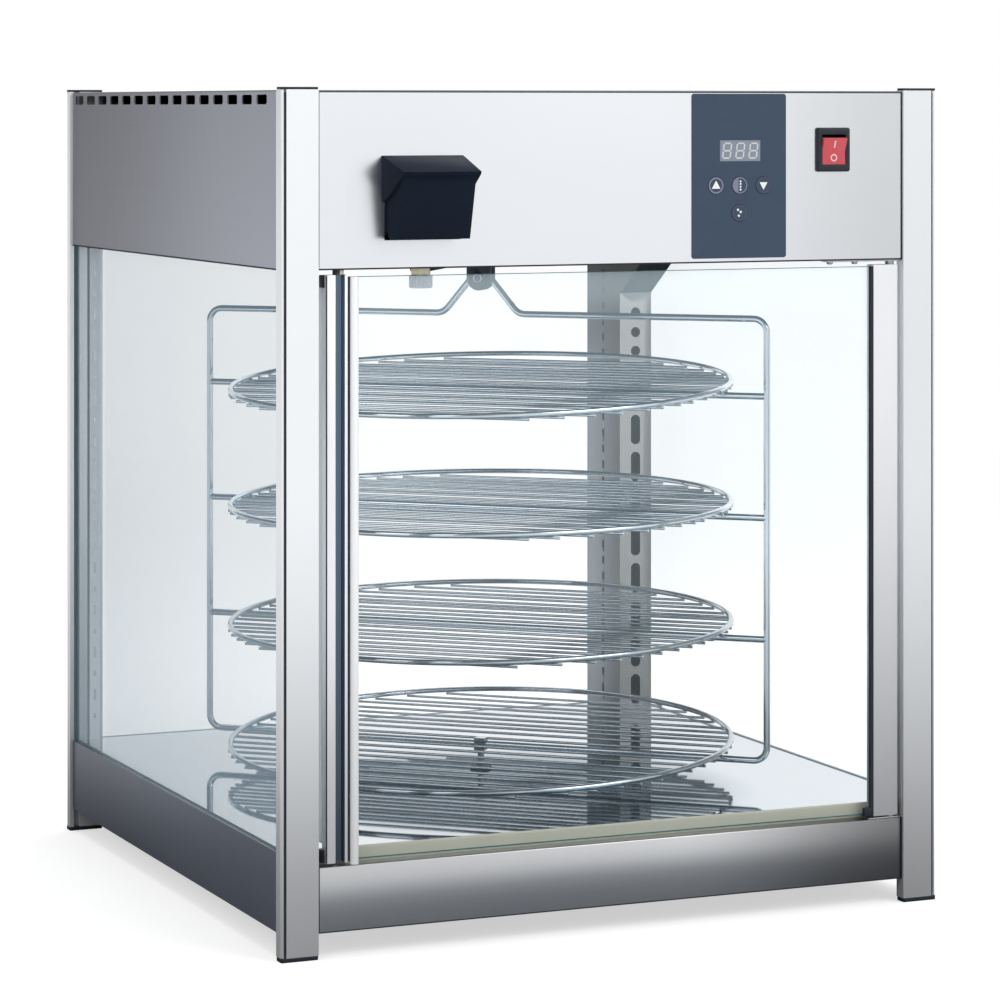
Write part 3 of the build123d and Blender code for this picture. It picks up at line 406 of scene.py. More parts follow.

# Floor: a pan of polished stainless that mirrors the rack, with a pale painted strip along its front
# edge over the door sill. Where the pan would mirror the lowest disc, its colour is painted darker and
# bluer: a painted reflection of the disc.
painted_disc_reflection = (-0.025, case_middle - 0.105)
mirror_steel = plain_surface(
    "mirror_steel", (0.66, 0.69, 0.725), (0.71, 0.74, 0.775), 4, 0.04, metallic=1.0, grain=120, bump=0.0,
    uneven=0.02, falls=[("R", 0.23**2, 0.14**2, 0.1)], shade=(0.07, 0.15, 0.22), middle=painted_disc_reflection,
)
sill_paint = plain_surface(
    "sill_paint", (0.43, 0.43, 0.35), (0.50, 0.50, 0.41), 30, 0.45, grain=700, bump=0.05,
)
dress(mirror_steel, "floor_pan")
dress(sill_paint, "sill_strip")

# Header: brushed stainless panels folded at top and bottom, a top cover and the ceiling pan, pop riveted
# between the posts. Vent slots are punched in a row under the top edge of each side, and in the rear.
# Painted shade: the fascia's steel darkens toward the right, and the header's sides use a darker, shaded
# copy of it that darkens toward the back.
case_steel_along = brushed_steel(
    "case_steel_along", (0.84, 0.86, 0.89), (0.90, 0.92, 0.94), "X", roughness=0.24, streak=0.5,
    falls=[("X", 0.03, 0.27, 0.77)],
)
shaded_case_steel_across = brushed_steel(
    "shaded_case_steel_across", (0.42, 0.44, 0.50), (0.48, 0.50, 0.57), "Y", roughness=0.36, metallic=0.7,
    falls=[("Y", case_front, case_back, 0.42)],
)


def punched(name, node, axis, radius, body, slot, material):
    """A copy of a sheet part in its node's place, the corners of its punched slots rounded. Those
    are the short hollow edges that run through the sheet along that axis."""
    bm = node_copy(node)
    through_sheet = 2 * mm
    square = math.radians(80)
    corners = [
        edge for edge in bm.edges
        if len(edge.link_faces) == 2 and edge.calc_length() < through_sheet and not edge.is_convex
        and abs((edge.verts[0].co - edge.verts[1].co).normalized()[axis]) > 0.99
        and edge.calc_face_angle() > square
    ]
    round_edges(bm, corners, radius, 4)
    made = finished(name, bm, body, slot, material)
    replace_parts(made, node)
    return made


cover_steel = brushed_steel(
    "cover_steel", (0.36, 0.37, 0.39), (0.43, 0.44, 0.46), "X", roughness=0.42, streak=0.5,
)
vent_round = 2.4 * mm
dress(case_steel_along, "header_front")
# The top cover's steel is a darker copy, darkened so the lamps overhead don't burn it white: painted
# shade.
top_steel = brushed_steel(
    "top_steel", (0.19, 0.195, 0.205), (0.24, 0.245, 0.255), "X", roughness=0.5, streak=0.5,
    metallic=0.3,
)
dress(top_steel, "top_cover")
punched("vented_rear", "header_rear", 1, vent_round, "case", "case_steel", cover_steel)
punched("vented_left", "header_left", 0, vent_round, "case", "case_steel", shaded_case_steel_across)
punched("vented_right", "header_right", 0, vent_round, "case", "case_steel", shaded_case_steel_across)
ceiling_steel = plain_surface(
    "ceiling_steel", (0.10, 0.15, 0.19), (0.15, 0.21, 0.26), 6, 0.42, metallic=1.0, grain=500,
)
dress(ceiling_steel, "ceiling_pan")
skirt, header_head = 554, 696
base_foot, base_head = 21, 73
recess = 2.5
post_deep = 12.2
inside = side - 32
panel_front = front + recess
panel_side = side - recess
skirt_shadow_foot = skirt - 1.3
seam = 1.1
# The first three strips are painted shadow under the lower edges of the fascia and the side panels; the
# other three are dark lines at the fascia's ends and along its top.
strips(
    "header_lines_and_shadow", "case", seal_rubber_and_shade,
    ((-inside, panel_front - 0.25, skirt_shadow_foot), (inside, panel_front + 1.2, skirt)),
    ((-panel_side - 0.25, front + post_deep, skirt_shadow_foot), (-panel_side + 1.2, back - post_deep, skirt)),
    ((panel_side - 1.2, front + post_deep, skirt_shadow_foot), (panel_side + 0.25, back - post_deep, skirt)),
    ((-inside, panel_front - 0.3, skirt), (-inside + seam, panel_front + 0.1, header_head)),
    ((inside - seam, panel_front - 0.3, skirt), (inside, panel_front + 0.1, header_head)),
    ((-inside, panel_front - 0.2, header_head - 0.4), (inside, panel_front + 0.8, header_head + 0.5)),
)
# The two upright strips are dark seams at the ends of the front panel; the last is painted shadow along
# its foot.
strips(
    "base_seams_and_shadow", "case", seal_rubber_and_shade,
    ((-inside, panel_front - 0.25, base_foot), (-inside + 1.6, panel_front + 0.3, base_head)),
    ((inside - seam, panel_front - 0.25, base_foot), (inside, panel_front + 0.3, base_head)),
    ((-inside, panel_front - 0.2, base_foot - 0.6), (inside, panel_front + 0.8, base_foot + 0.3)),
)


# Fixed glass: float glass panes with ground edges, standing in the posts' slots on the base flange. Seen
# from the side the edge is sea green.
def tinted_glass(name, colour, clear, glow, *painted_veils):
    """One face of a clear pane: gloss, a slight tint, a painted glow, and veils of painted reflection
    and shade that fade in along an axis.
    """
    material, recipe = new_finish(name)
    place = recipe.add("ShaderNodeTexCoord", output="Object")
    axes = recipe.parts(place)
    clouds = recipe.add("ShaderNodeTexNoise", {}, {"Vector": place, "Scale": 3.0, "Detail": 2.0})
    rim = recipe.add("ShaderNodeLayerWeight", {}, {"Blend": 0.2}, output="Fresnel")
    tone = recipe.blend(clouds, (*colour, 1), (*[min(1, 1.08 * c) for c in colour], 1))
    veil = clear + 0.3 * rim + 0.01 * (clouds - 0.5)
    for axis, low, high, amount in painted_veils:
        veil = veil + amount * recipe.fade(axes["XYZ".index(axis)], low, high)
    inputs = {
        "Base Color": tone,
        "Roughness": 0.06,
        "Alpha": veil,
        "IOR": 1.52,
        "Emission Color": (*[glow * c for c in colour], 1),
        "Emission Strength": 1.0,
    }
    body = recipe.add("ShaderNodeBsdfPrincipled", {}, inputs)
    recipe.add("ShaderNodeOutputMaterial", {}, {"Surface": body})
    return material


# The panes' glow is painted light that keeps the wall white through them. The left pane is a darker,
# shaded copy with veils of painted shade and reflection, and the door pane's veils thicken toward its
# top as a painted reflection of the lamps.
pane_glass = tinted_glass("pane_glass", (0.85, 0.93, 0.97), 0.015, 0.5)
left_pane_glass = tinted_glass(
    "left_pane_glass", (0.30, 0.42, 0.50), 0.004, 0.1, ("Y", case_front, case_back, 0.10),
    ("Z", 0.45, 0.1, 0.09), ("Y", 0.212, 0.226, -0.08),
)
door_pane_glass = tinted_glass(
    "door_pane_glass", (0.74, 0.90, 1.0), 0.008, 0.36, ("Z", 0.08, 0.2, 0.010), ("Z", 0.18, 0.32, 0.018),
    ("Z", 0.32, 0.50, 0.020), ("Z", 0.500, 0.535, 0.07),
)
edge_glass = plain_surface(
    "edge_glass", (0.03, 0.10, 0.11), (0.08, 0.20, 0.21), 12, 0.15, grain=400, bump=0.02,
)


def pane(name, node, thin, faces, body="case"):
    """A pane of glass in a CAD node's place, thin along one axis, with sea-green ground edges."""
    low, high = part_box(node)
    bm = bmesh.new()
    bmesh.ops.create_cube(bm, size=1)
    bmesh.ops.scale(bm, verts=bm.verts, vec=high - low)
    bmesh.ops.translate(bm, verts=bm.verts, vec=(low + high) / 2)
    round_edges(bm, bm.edges[:], 0.4 * mm, 1, clamp=False)
    for face in bm.faces:
        face.material_index = 0 if abs(face.normal[thin]) > 0.9 else 1
    made = finished(name, bm, body, "clear_glass", faces, edge_glass)
    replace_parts(made, node)
    return made


pane("pane_left", "glass_left", 0, left_pane_glass)
pane("pane_right", "glass_right", 0, pane_glass)
pane("pane_rear", "glass_rear", 1, pane_glass)

# Slotted strip: a bright stainless strip with long and short slots in turn, screwed to the inner face
# of the rear left post.
strip_steel = brushed_steel(
    "strip_steel", (0.88, 0.89, 0.91), (0.93, 0.94, 0.95), "Z", roughness=0.5, metallic=0.2,
)
dress(strip_steel, "slotted_strip")
seam_foot, seam_head = 86, 553
strips(
    "strip_seam", "case", seal_rubber_and_shade,
    ((-283.0, back - 12.7, seam_foot), (-281.1, back - 11.9, seam_head)),
)

# Air duct: a column folded from stainless sheet in the rear right corner. Warm air leaves it through
# slots in two of its faces, and its head flares forward under the ceiling.
# Painted shade: the duct's front darkens toward the bottom, and its other faces use a darker, shaded
# copy that darkens further toward the top under the head and toward the front.
duct_steel = brushed_steel(
    "duct_steel", (0.40, 0.395, 0.38), (0.47, 0.465, 0.45), "Z", roughness=0.22,
    falls=[("Z", 0.5, 0.1, 0.62)],
)
shaded_duct_side_steel = brushed_steel(
    "shaded_duct_side_steel", (0.25, 0.275, 0.30), (0.31, 0.335, 0.36), "Z", roughness=0.3, metallic=0.6,
    falls=[("Z", 0.36, 0.53, 0.12), ("Y", case_back - 0.02, case_back - 0.09, 0.3)],
)
duct = punched("slotted_duct", "air_duct", 1, 4.6 * mm, "case", "inner_steel", duct_steel)
duct.data.materials.append(shaded_duct_side_steel)
for face in duct.data.polygons:
    if abs(face.normal.y) < 0.9:
        face.material_index = 1
# Dark strips in the slots of the duct's side face are painted shade inside the duct.
slot_count, slot_foot, slot_pitch, slot_height = 28, 104, 15.8, 7.6
duct_face = 237.75
slot_shades = []
for step in range(slot_count):
    level = slot_foot + slot_pitch * step
    near_corner = (duct_face - 0.4, back - 52.6, level)
    far_corner = (duct_face, back - 47.6, level + slot_height)
    slot_shades.append((near_corner, far_corner))
strips("duct_slot_shade", "case", seal_rubber_and_shade, *slot_shades)

# Door: two aluminium stiles hold a pane with polished edges, sealed with black gaskets. The handle stile
# has a deep finger groove, a round plastic bead and a pale sealing lip, and two pins in the hinge stile
# carry it all.
# Painted shade: the stiles and the bead darken toward the bottom of the door.
door_aluminium = plain_surface(
    "door_aluminium", (0.84, 0.85, 0.88), (0.89, 0.90, 0.93), 3, 0.25, metallic=0.35,
    falls=[("Z", 0.5, 0.0, 0.39)], **extruded,
)
grip_aluminium = plain_surface(
    "grip_aluminium", (0.86, 0.87, 0.90), (0.91, 0.92, 0.95), 3, 0.25, metallic=0.3,
    falls=[("Z", 0.35, 0.0, 0.68)], **extruded,
)
bead_plastic = plain_surface(
    "bead_plastic", (0.93, 0.94, 0.96), (0.95, 0.96, 0.98), 20, 0.2, metallic=0.0, grain=400, bump=0.0,
    falls=[("Z", 0.35, 0.0, 0.75)],
)
dress(door_aluminium, "hinge_stile")
dress(seal_rubber_and_shade, "door_gaskets")
softened("edge_bead", "door_bead", 0.15 * mm, "door", "bead_plastic", bead_plastic)
softened("stile_ends", "door_caps", 0.25 * mm, "door", "black_plastic", black_plastic)
# The faces of the finger groove get a dark blue-grey of their own: painted shade in the groove, darker
# still toward the bottom.
finger_groove_shade = plain_surface(
    "finger_groove_shade", (0.15, 0.22, 0.31), (0.20, 0.28, 0.38), 5, 0.3, metallic=0.6, grain=900,
    stretch=(1, 1, 0.05), bump=0.03, falls=[("Z", 0.45, 0.0, 0.45)],
)
grip = softened("grip_stile", "handle_stile", 0.3 * mm, "door", "satin_aluminium", grip_aluminium)
grip.data.materials.append(finger_groove_shade)
grip_low, grip_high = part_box("handle_stile")
groove_left, groove_right = 7.3 * mm, 15.9 * mm
groove_mouth, groove_floor = 0.6 * mm, 8.8 * mm
for face in grip.data.polygons:
    middle = face.center - grip_low
    if groove_mouth < middle.y < groove_floor and groove_left < middle.x < groove_right:
        face.material_index = 1
edge_x, edge_y = grip_low.x / mm, grip_low.y / mm
line_foot, line_head = 76, 548
# A dark line down the stile's outer front edge is painted shade in the gap beside the post.
strips(
    "stile_edge_shade", "door", seal_rubber_and_shade,
    ((edge_x - 0.1, edge_y + 0.2, line_foot), (edge_x + 0.5, edge_y + 1.9, line_head)),
)
lip_plastic = plain_surface("lip_plastic", (0.84, 0.90, 0.95), (0.88, 0.94, 0.98), 20, 0.4, grain=900)
lip_foot, lip_head = 90, 547
lip_y = grip_high.y / mm
strips(
    "stile_lip", "door", lip_plastic,
    ((edge_x, lip_y, lip_foot), (edge_x + 1.2, lip_y + 6.5, lip_head)),
)
pane("pane_door", "door_glass", 1, door_pane_glass, "door")

# Door fittings: plated brackets over and under the hinge stile, screwed to the header and the base, and
# a sprung brass ball beside a black stop over the handle stile.
brass = plain_surface(
    "brass", (0.52, 0.46, 0.33), (0.64, 0.57, 0.42), 40, 0.3, metallic=0.9, grain=600,
)
fittings = softened("brackets_and_catch", "door_fittings", 0.2 * mm, "case", "dark_steel", dull_steel)
fittings.data.materials.append(brass)
fittings.data.materials.append(black_plastic)
catch_x = grip_low.x + 10.5 * mm
stop_edge = catch_x - 3.2 * mm
for face in fittings.data.polygons:
    if face.center.x < 0:
        face.material_index = 1 if face.center.x > stop_edge else 2

# The catch stands a little further in, and hangs a little lower, than its solid.
catch_shift = 3.8 * mm
catch_drop = 1.2
for vertex in fittings.data.vertices:
    if vertex.co.x < 0:
        vertex.co.x += catch_shift
        vertex.co.z = (skirt - catch_drop * (skirt - vertex.co.z / mm)) * mm

screw_places = (201, 225)
screw_row, screw_level = front + 9, 550.4
bm = bmesh.new()
for place in screw_places:
    head = bmesh.ops.create_cone(
        bm, cap_ends=True, segments=18, radius1=2.2 * mm, radius2=3.2 * mm, depth=2.2 * mm,
    )["verts"]
    bmesh.ops.translate(bm, verts=head, vec=(place * mm, screw_row * mm, screw_level * mm))
round_edges(bm, bm.edges[:], 0.3 * mm, 2)
finished("bracket_screws", bm, "case", "dark_steel", dull_steel)

# Rack: a hoop, three cross bars and four discs, all of round steel wire, spot welded and nickel plated.
# Each disc is a ring laid over parallel wires, welded to its bar and leaning a little to the front.
rack_turn = math.radians(-43)
along = Vector((math.cos(rack_turn), math.sin(rack_turn), 0))
toward = Vector((math.sin(rack_turn), -math.cos(rack_turn), 0))
axis_foot = Vector((0, case_middle, 0))
wire_radius = 3 * mm
bar_levels = [107.6 * mm, 214.65 * mm, 321.7 * mm, 428.75 * mm]
disc_leans = [2.2, 1.4, 1.3, 3.0]
hoop_half = 268 * mm
hoop_top = 497 * mm
# Painted shade: the wire darkens toward the lower discs.
rack_wire = plain_surface(
    "rack_wire", (0.54, 0.61, 0.66), (0.76, 0.83, 0.88), 25, 0.08, metallic=1.0, grain=500, bump=0.02,
    falls=[("Z", 0.31, 0.20, 0.68)],
)


def rounded(corners, radii):
    """The points of a closed line through the corners, each corner turned on an arc of its radius."""
    points = []
    count = len(corners)
    arc_steps = 8
    for index, (corner, radius) in enumerate(zip(corners, radii)):
        back_way = (corners[index - 1] - corner).normalized()
        next_way = (corners[(index + 1) % count] - corner).normalized()
        half = back_way.angle(next_way) / 2
        centre = corner + (back_way + next_way).normalized() * radius / math.sin(half)
        start = corner + back_way * radius / math.tan(half) - centre
        end = corner + next_way * radius / math.tan(half) - centre
        for step in range(arc_steps + 1):
            spoke = start.normalized().slerp(end.normalized(), step / arc_steps)
            points.append(centre + radius * spoke)
    return points


def add_wire(bm, points, radius, closed=False, corners=8):
    """Adds a round wire with closed ends along the points."""
    curve = bpy.data.curves.new("wire_line", "CURVE")
    curve.dimensions = "3D"
    curve.fill_mode = "FULL"
    curve.bevel_depth = radius
    curve.bevel_resolution = corners // 2 - 1
    curve.use_fill_caps = not closed
    line = curve.splines.new("POLY")
    line.points.add(len(points) - 1)
    for knot, point in zip(line.points, points):
        knot.co = (*point, 1)
    line.use_cyclic_u = closed
    holder = bpy.data.objects.new("wire_line", curve)
    made = bpy.data.meshes.new_from_object(holder)
    bm.from_mesh(made)
    bpy.data.meshes.remove(made)
    bpy.data.objects.remove(holder)
    bpy.data.curves.remove(curve)


def in_rack(across, up):
    """A point in the upright plane of the hoop."""
    return axis_foot + along * across + Vector((0, 0, up))


peak_half = 36 * mm
peak_slope = math.radians(50)
peak_tip = hoop_top + peak_half * math.tan(peak_slope)
hoop_corners = [
    in_rack(hoop_half, bar_levels[0]), in_rack(hoop_half, hoop_top), in_rack(peak_half, hoop_top),
    in_rack(0, peak_tip), in_rack(-peak_half, hoop_top), in_rack(-hoop_half, hoop_top),
    in_rack(-hoop_half, bar_levels[0]),
]
hoop_radii = [radius * mm for radius in (12, 12, 14, 9, 14, 12, 12)]
bm = bmesh.new()
add_wire(bm, rounded(hoop_corners, hoop_radii), wire_radius, closed=True, corners=12)
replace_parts(finished("hoop_wire", bm, "rack", "rack_wire", rack_wire, smooth=60), "rack_hoop")

bm = bmesh.new()
for level in bar_levels[1:]:
    add_wire(bm, [in_rack(-hoop_half, level), in_rack(hoop_half, level)], wire_radius, corners=12)
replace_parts(finished("bar_wires", bm, "rack", "rack_wire", rack_wire, smooth=60), "rack_bars")

ring_radius = 2.5 * mm
grid_radius = 1.25 * mm
disc_radius = 228.6 * mm
grid_pitch = 20 * mm
grid_rise = 1.5 * mm
ring_rise = 5.5 * mm
ring_points = 120
wires_a_side = 10
end_gap = 0.8 * mm

# The wires are laid by hand, so each stands a little off its even place and a little askew.
stray, askew = 3.2, 1.4
hand = random.Random(12)
for tier, (level, lean) in enumerate(zip(bar_levels, disc_leans), 1):
    tilt = math.radians(lean)
    up = toward * math.sin(tilt) + Vector((0, 0, math.cos(tilt)))
    across = up.cross(along)
    centre = axis_foot + Vector((0, 0, level))
    bm = bmesh.new()
    circle = disc_radius - ring_radius
    turns = [2 * math.pi * step / ring_points for step in range(ring_points)]
    ring_centre = centre + up * ring_rise
    ring = [ring_centre + circle * (along * math.cos(turn) + across * math.sin(turn)) for turn in turns]
    add_wire(bm, ring, ring_radius, closed=True)
    for step in range(1, wires_a_side + 1):
        for place in (-step * grid_pitch, step * grid_pitch):
            place += hand.uniform(-stray, stray) * mm
            ends = []
            for way in (-1, 1):
                aside = place + hand.uniform(-askew, askew) * mm
                reach = math.sqrt(disc_radius**2 - aside**2) - end_gap
                ends.append(centre + across * aside + along * way * reach + up * grid_rise)
            add_wire(bm, ends, grid_radius)
    made = finished(f"disc_wires_{tier}", bm, "rack", "rack_wire", rack_wire, smooth=60)
    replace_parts(made, f"rack_disc_{tier}")

# Drive: the clevis on the gearmotor's shaft holds the hoop's peak over a cross screw, and a pin under
# the hoop turns in a black bush in the floor.
dark_steel = plain_surface(
    "dark_steel", (0.05, 0.055, 0.06), (0.10, 0.11, 0.12), 30, 0.4, metallic=0.8, grain=500, bump=0.06,
)
bright_steel = plain_surface(
    "bright_steel", (0.66, 0.67, 0.68), (0.76, 0.77, 0.78), 30, 0.3, metallic=0.8, grain=500, bump=0.02,
)
dress(rack_wire, "floor_pin")
softened("forked_clevis", "drive_clevis", 0.5 * mm, "rack", "dark_steel", dark_steel)
head_foot, head_rim, head_height = 4.9 * mm, 4.4 * mm, 3.1 * mm
bm = bmesh.new()
bmesh.ops.create_cone(
    bm, cap_ends=True, segments=24, radius1=head_foot, radius2=head_rim, depth=head_height,
)
top = max(bm.faces, key=lambda face: face.calc_center_median().z)
round_edges(bm, top.edges[:], 0.9 * mm, 3, clamp=False)
top = max(bm.faces, key=lambda face: face.calc_center_median().z)
bmesh.ops.inset_region(bm, faces=[top], thickness=1.7 * mm, depth=0)
bmesh.ops.translate(bm, verts=top.verts, vec=(0, 0, -0.9 * mm))
screw_way = toward.to_track_quat("Z", "Y").to_matrix()
bmesh.ops.rotate(bm, verts=bm.verts, matrix=screw_way)
cheek_face = 6.5
head_middle = 1.5
screw_spot = in_rack(0, 529.35 * mm) + toward * (cheek_face + head_middle) * mm
bmesh.ops.translate(bm, verts=bm.verts, vec=screw_spot)
finished("clevis_screw", bm, "rack", "motor_steel", bright_steel)
dress(black_plastic, "rack_bushes")
motor_steel = plain_surface(
    "motor_steel", (0.35, 0.36, 0.37), (0.48, 0.49, 0.5), 12, 0.45, metallic=1.0, grain=300,
)
dress(motor_steel, "gearmotor", "heaters")

# Water fill: a black moulded scoop that tilts out of the fascia on two pins in its frame. It pours into
# a steel pan over the ceiling, which a brass valve with a clear cap drains.
scoop_plastic = plain_surface(
    "scoop_plastic", (0.009, 0.014, 0.024), (0.013, 0.019, 0.032), 40, 0.6, grain=1500, bump=0.12,
    **{"Specular IOR Level": 0.03},
)
softened("moulded_scoop", "fill_scoop", 0.7 * mm, "scoop", "black_plastic", scoop_plastic)
dress(black_plastic, "fill_frame")
dress(dull_steel, "water_pan")
clear_cap = plain_surface(
    "clear_cap", (0.62, 0.64, 0.65), (0.74, 0.76, 0.77), 60, 0.2, grain=300, bump=0.1, Alpha=0.85,
)
softened("valve_body", "drain_valve", 0.3 * mm, "case", "brass", brass)
cap_low, cap_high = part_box("drain_cap")
cap_middle = (cap_low + cap_high) / 2
cap_radius = (cap_high.x - cap_low.x) / 2
cap_step = 1 * mm
ribs = 28
rib_bottom = 0.93
bm = bmesh.new()
knurl = bmesh.ops.create_circle(bm, cap_ends=True, segments=2 * ribs, radius=cap_radius)["verts"]
for vertex in knurl[::2]:
    vertex.co *= rib_bottom
bmesh.ops.translate(bm, verts=bm.verts, vec=(cap_middle.x, cap_middle.y, cap_low.z + cap_step))
foot = bm.faces[:]
bmesh.ops.reverse_faces(bm, faces=foot)
grown = bmesh.ops.extrude_face_region(bm, geom=foot, use_keep_orig=True)["geom"]
bmesh.ops.translate(
    bm, verts=[part for part in grown if isinstance(part, bmesh.types.BMVert)],
    vec=(0, 0, cap_high.z - cap_low.z - cap_step),
)
bm.faces.ensure_lookup_table()
bottom = min(bm.faces, key=lambda face: face.calc_center_median().z)
bmesh.ops.inset_region(bm, faces=[bottom], thickness=cap_step, depth=0)
bmesh.ops.translate(bm, verts=bottom.verts, vec=(0, 0, -cap_step))
bmesh.ops.recalc_face_normals(bm, faces=bm.faces)
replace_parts(finished("ribbed_cap", bm, "case", "cap_plastic", clear_cap), "drain_cap")
softened("valve_handle", "drain_lever", 0.4 * mm, "valve_lever", "black_plastic", black_plastic)

# Controls: a printed film on a backing plate covers the key board. Behind it sit a three-figure display
# and four round keys, and beside it the mains rocker snaps into the fascia.
overlay_film = plain_surface(
    "overlay_film", (0.030, 0.052, 0.090), (0.044, 0.070, 0.116), 70, 0.5, grain=2200, bump=0.1,
    **{"Specular IOR Level": 0.3},
)
board = plain_surface("board", (0.02, 0.12, 0.05), (0.03, 0.16, 0.07), 60, 0.5, grain=600)
dress(overlay_film, "control_overlay", "key_up", "key_set", "key_down", "key_turn")
dress(board, "control_board")


def bar(bm, x, y, width, height, lean=0.0):
    """Adds a flat bar, leaning sideways by that share of its height."""
    corners = bmesh.ops.create_grid(bm, x_segments=1, y_segments=1, size=0.5)["verts"]
    bmesh.ops.scale(bm, verts=corners, vec=(width * mm, height * mm, 1))
    bmesh.ops.translate(bm, verts=corners, vec=(x * mm, y * mm, 0))
    for corner in corners:
        corner.co.x += lean * corner.co.y


def spot(bm, x, y, radius, corners, turn=0.0, hollow=0.0):
    """Adds a flat disc or triangle, or, where a hollow is given, a ring of that width."""
    made = bmesh.ops.create_circle(bm, cap_ends=True, segments=corners, radius=radius * mm)["verts"]
    if hollow:
        middle = made[0].link_faces[0]
        rim = bmesh.ops.inset_region(
            bm, faces=[middle], thickness=hollow * mm, depth=0, use_boundary=True,
        )["faces"]
        made = list({corner: None for face in rim for corner in face.verts})
        bmesh.ops.delete(bm, geom=[middle], context="FACES_ONLY")
    bmesh.ops.rotate(bm, verts=made, matrix=Matrix.Rotation(math.radians(turn), 3, "Z"))
    bmesh.ops.translate(bm, verts=made, vec=(x * mm, y * mm, 0))
    return made


def inked(name, bm, place, body, slot, material, thick=0.08, lean=0.0):
    """Turns a flat drawing into a raised print on a face that looks to the front."""
    for face in bm.faces:
        if face.normal.z < 0:
            face.normal_flip()
    grown = bmesh.ops.extrude_face_region(bm, geom=bm.faces[:])["geom"]
    raised = [part for part in grown if isinstance(part, bmesh.types.BMVert)]
    bmesh.ops.translate(bm, verts=raised, vec=(0, 0, thick * mm))
    bmesh.ops.recalc_face_normals(bm, faces=bm.faces)
    bmesh.ops.rotate(bm, verts=bm.verts, matrix=Matrix.Rotation(math.radians(90 + lean), 3, "X"))
    bmesh.ops.translate(bm, verts=bm.verts, vec=Vector(place) * mm)
    return finished(name, bm, body, slot, material)


film_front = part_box("control_overlay")[0].y / mm
display_x = 111.7
display_z = 647
window_tint = plain_surface(
    "window_tint", (0.19, 0.23, 0.29), (0.24, 0.28, 0.35), 80, 0.3, grain=1500, bump=0.02,
)
pale_segment = plain_surface(
    "pale_segment", (0.56, 0.56, 0.55), (0.66, 0.66, 0.64), 90, 0.4, grain=1500, bump=0.02,
)
window_sink, digit_sink = 0.4, 0.32
window_width, window_height = 38.2, 17.8
digit_gap, digit_lean = 12.4, 0.13
stroke, flat_stroke, tall_stroke = 1.3, 5.6, 5.0
half_wide, half_tall = 3.5, 6.2
bm = bmesh.new()
bar(bm, 0, 0, window_width, window_height)
window_place = (display_x, film_front + window_sink, display_z)
inked("display_window", bm, window_place, "case", "overlay_film", window_tint)
bm = bmesh.new()
for digit in (-digit_gap, 0, digit_gap):
    strokes = bmesh.new()
    for level in (-half_tall, 0, half_tall):
        bar(strokes, 0, level, flat_stroke, stroke, lean=digit_lean)
    for across in (-half_wide, half_wide):
        for level in (-half_tall / 2, half_tall / 2):
            bar(strokes, across, level, stroke, tall_stroke, lean=digit_lean)
    bmesh.ops.translate(strokes, verts=strokes.verts, vec=(digit * mm, 0, 0))
    stroke_mesh = bpy.data.meshes.new("strokes")
    strokes.to_mesh(stroke_mesh)
    strokes.free()
    bm.from_mesh(stroke_mesh)
    bpy.data.meshes.remove(stroke_mesh)
digits_place = (display_x, film_front + digit_sink, display_z)
inked("display_digits", bm, digits_place, "case", "overlay_film", pale_segment)

ring_ink = plain_surface("ring_ink", (0.17, 0.18, 0.26), (0.23, 0.24, 0.33), 60, 0.5, grain=1500)
faint_ink = plain_surface("faint_ink", (0.075, 0.06, 0.11), (0.10, 0.085, 0.14), 60, 0.5, grain=1500)
white_ink = plain_surface("white_ink", (0.80, 0.81, 0.82), (0.88, 0.89, 0.90), 60, 0.45, grain=1500)
key_face = film_front - 0.5
upper_row, lower_row = 617.8, 594.6
key_places = {
    "up_key": (88.5, key_face, upper_row),
    "set_key": (110.9, key_face, upper_row),
    "down_key": (133.3, key_face, upper_row),
    "turn_key": (110.5, key_face, lower_row),
}
bold_ring, fine_ring, ring_sides = 6.9, 6.7, 32
fill_edge = -1.4


def key_ring(name, key, radius, width, ink, fill=None):
    """The printed ring round a key. With a fill, the left of a disc of that radius lies in it."""
    bm = bmesh.new()
    spot(bm, 0, 0, radius, ring_sides, hollow=width)
    if fill:
        disc = spot(bm, 0, 0, fill, ring_sides)
        face = disc[0].link_faces[0]
        bmesh.ops.bisect_plane(
            bm, geom=[*disc, *face.edges, face],
            plane_co=(fill_edge * mm, 0, 0), plane_no=(1, 0, 0), clear_outer=True,
        )
    inked(name, bm, key_places[key], key, "overlay_film", ink)


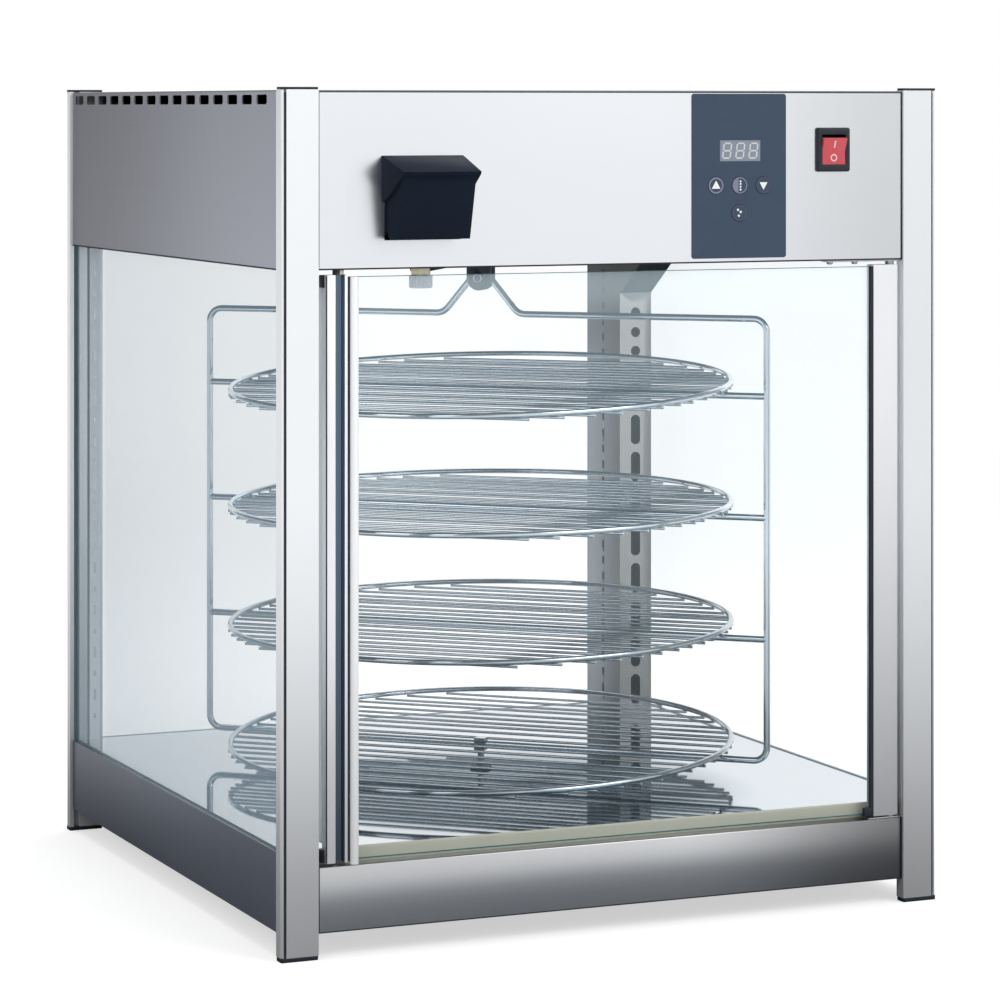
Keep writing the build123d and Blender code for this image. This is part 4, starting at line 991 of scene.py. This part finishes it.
def key_sign(name, key, radius, sides, *places, turn=0.0):
    """The white arrow or dots of a key."""
    bm = bmesh.new()
    for across, level in places:
        spot(bm, across, level, radius, sides, turn=turn)
    inked(name, bm, key_places[key], key, "overlay_film", white_ink)


key_ring("up_ring", "up_key", bold_ring, 1.3, ring_ink)
key_sign("up_arrow", "up_key", 4.6, 3, (0, -0.4))
key_ring("set_ring", "set_key", bold_ring, 0.9, ring_ink, fill=5.9)
key_sign("set_dots", "set_key", 0.9, 8, (0.6, -3.6), (0.6, -1.2), (0.6, 1.2), (0.6, 3.4))
key_ring("down_ring", "down_key", fine_ring, 0.5, faint_ink)
key_sign("down_arrow", "down_key", 4.3, 3, (0, 0.3), turn=180)
key_ring("turn_ring", "turn_key", fine_ring, 0.5, faint_ink)
key_sign("turn_dots", "turn_key", 1.25, 4, (-1.4, 2.6), (1.2, 0.8), (-0.6, -2.4))

red_plastic = plain_surface(
    "red_plastic", (0.55, 0.05, 0.07), (0.68, 0.10, 0.12), 60, 0.25, grain=500, bump=0.03,
)
softened("switch_bezel", "switch_body", 0.5 * mm, "case", "black_plastic", black_plastic)
softened("rocker_key", "rocker", 0.4 * mm, "switch_rocker", "red_plastic", red_plastic)
pale_ink = plain_surface("pale_ink", (0.78, 0.52, 0.52), (0.86, 0.62, 0.62), 60, 0.4, grain=1500)
rocker_x = 200
upper_face, upper_lean = (rocker_x, front - 2.37, 651.8), 20.95
lower_face, lower_lean = (rocker_x, front - 0.39, 640.6), -0.94
bm = bmesh.new()
bar(bm, 0, 0.4, 1.5, 6.4)
inked("rocker_on_mark", bm, upper_face, "switch_rocker", "red_plastic", pale_ink, lean=upper_lean)
bm = bmesh.new()
spot(bm, 0, 0, 3.2, 24, hollow=1.1)
inked("rocker_off_mark", bm, lower_face, "switch_rocker", "red_plastic", pale_ink, lean=lower_lean)

# Fan: a sheet drum with a wheel of curved blades draws air in through the ceiling and blows it down
# the duct.
dress(dull_steel, "fan_housing")
dress(motor_steel, "fan_impeller")

# Cable gland: a black nylon nut and sleeve in the rear panel, where the mains lead goes in.
dress(black_plastic, "cable_gland")
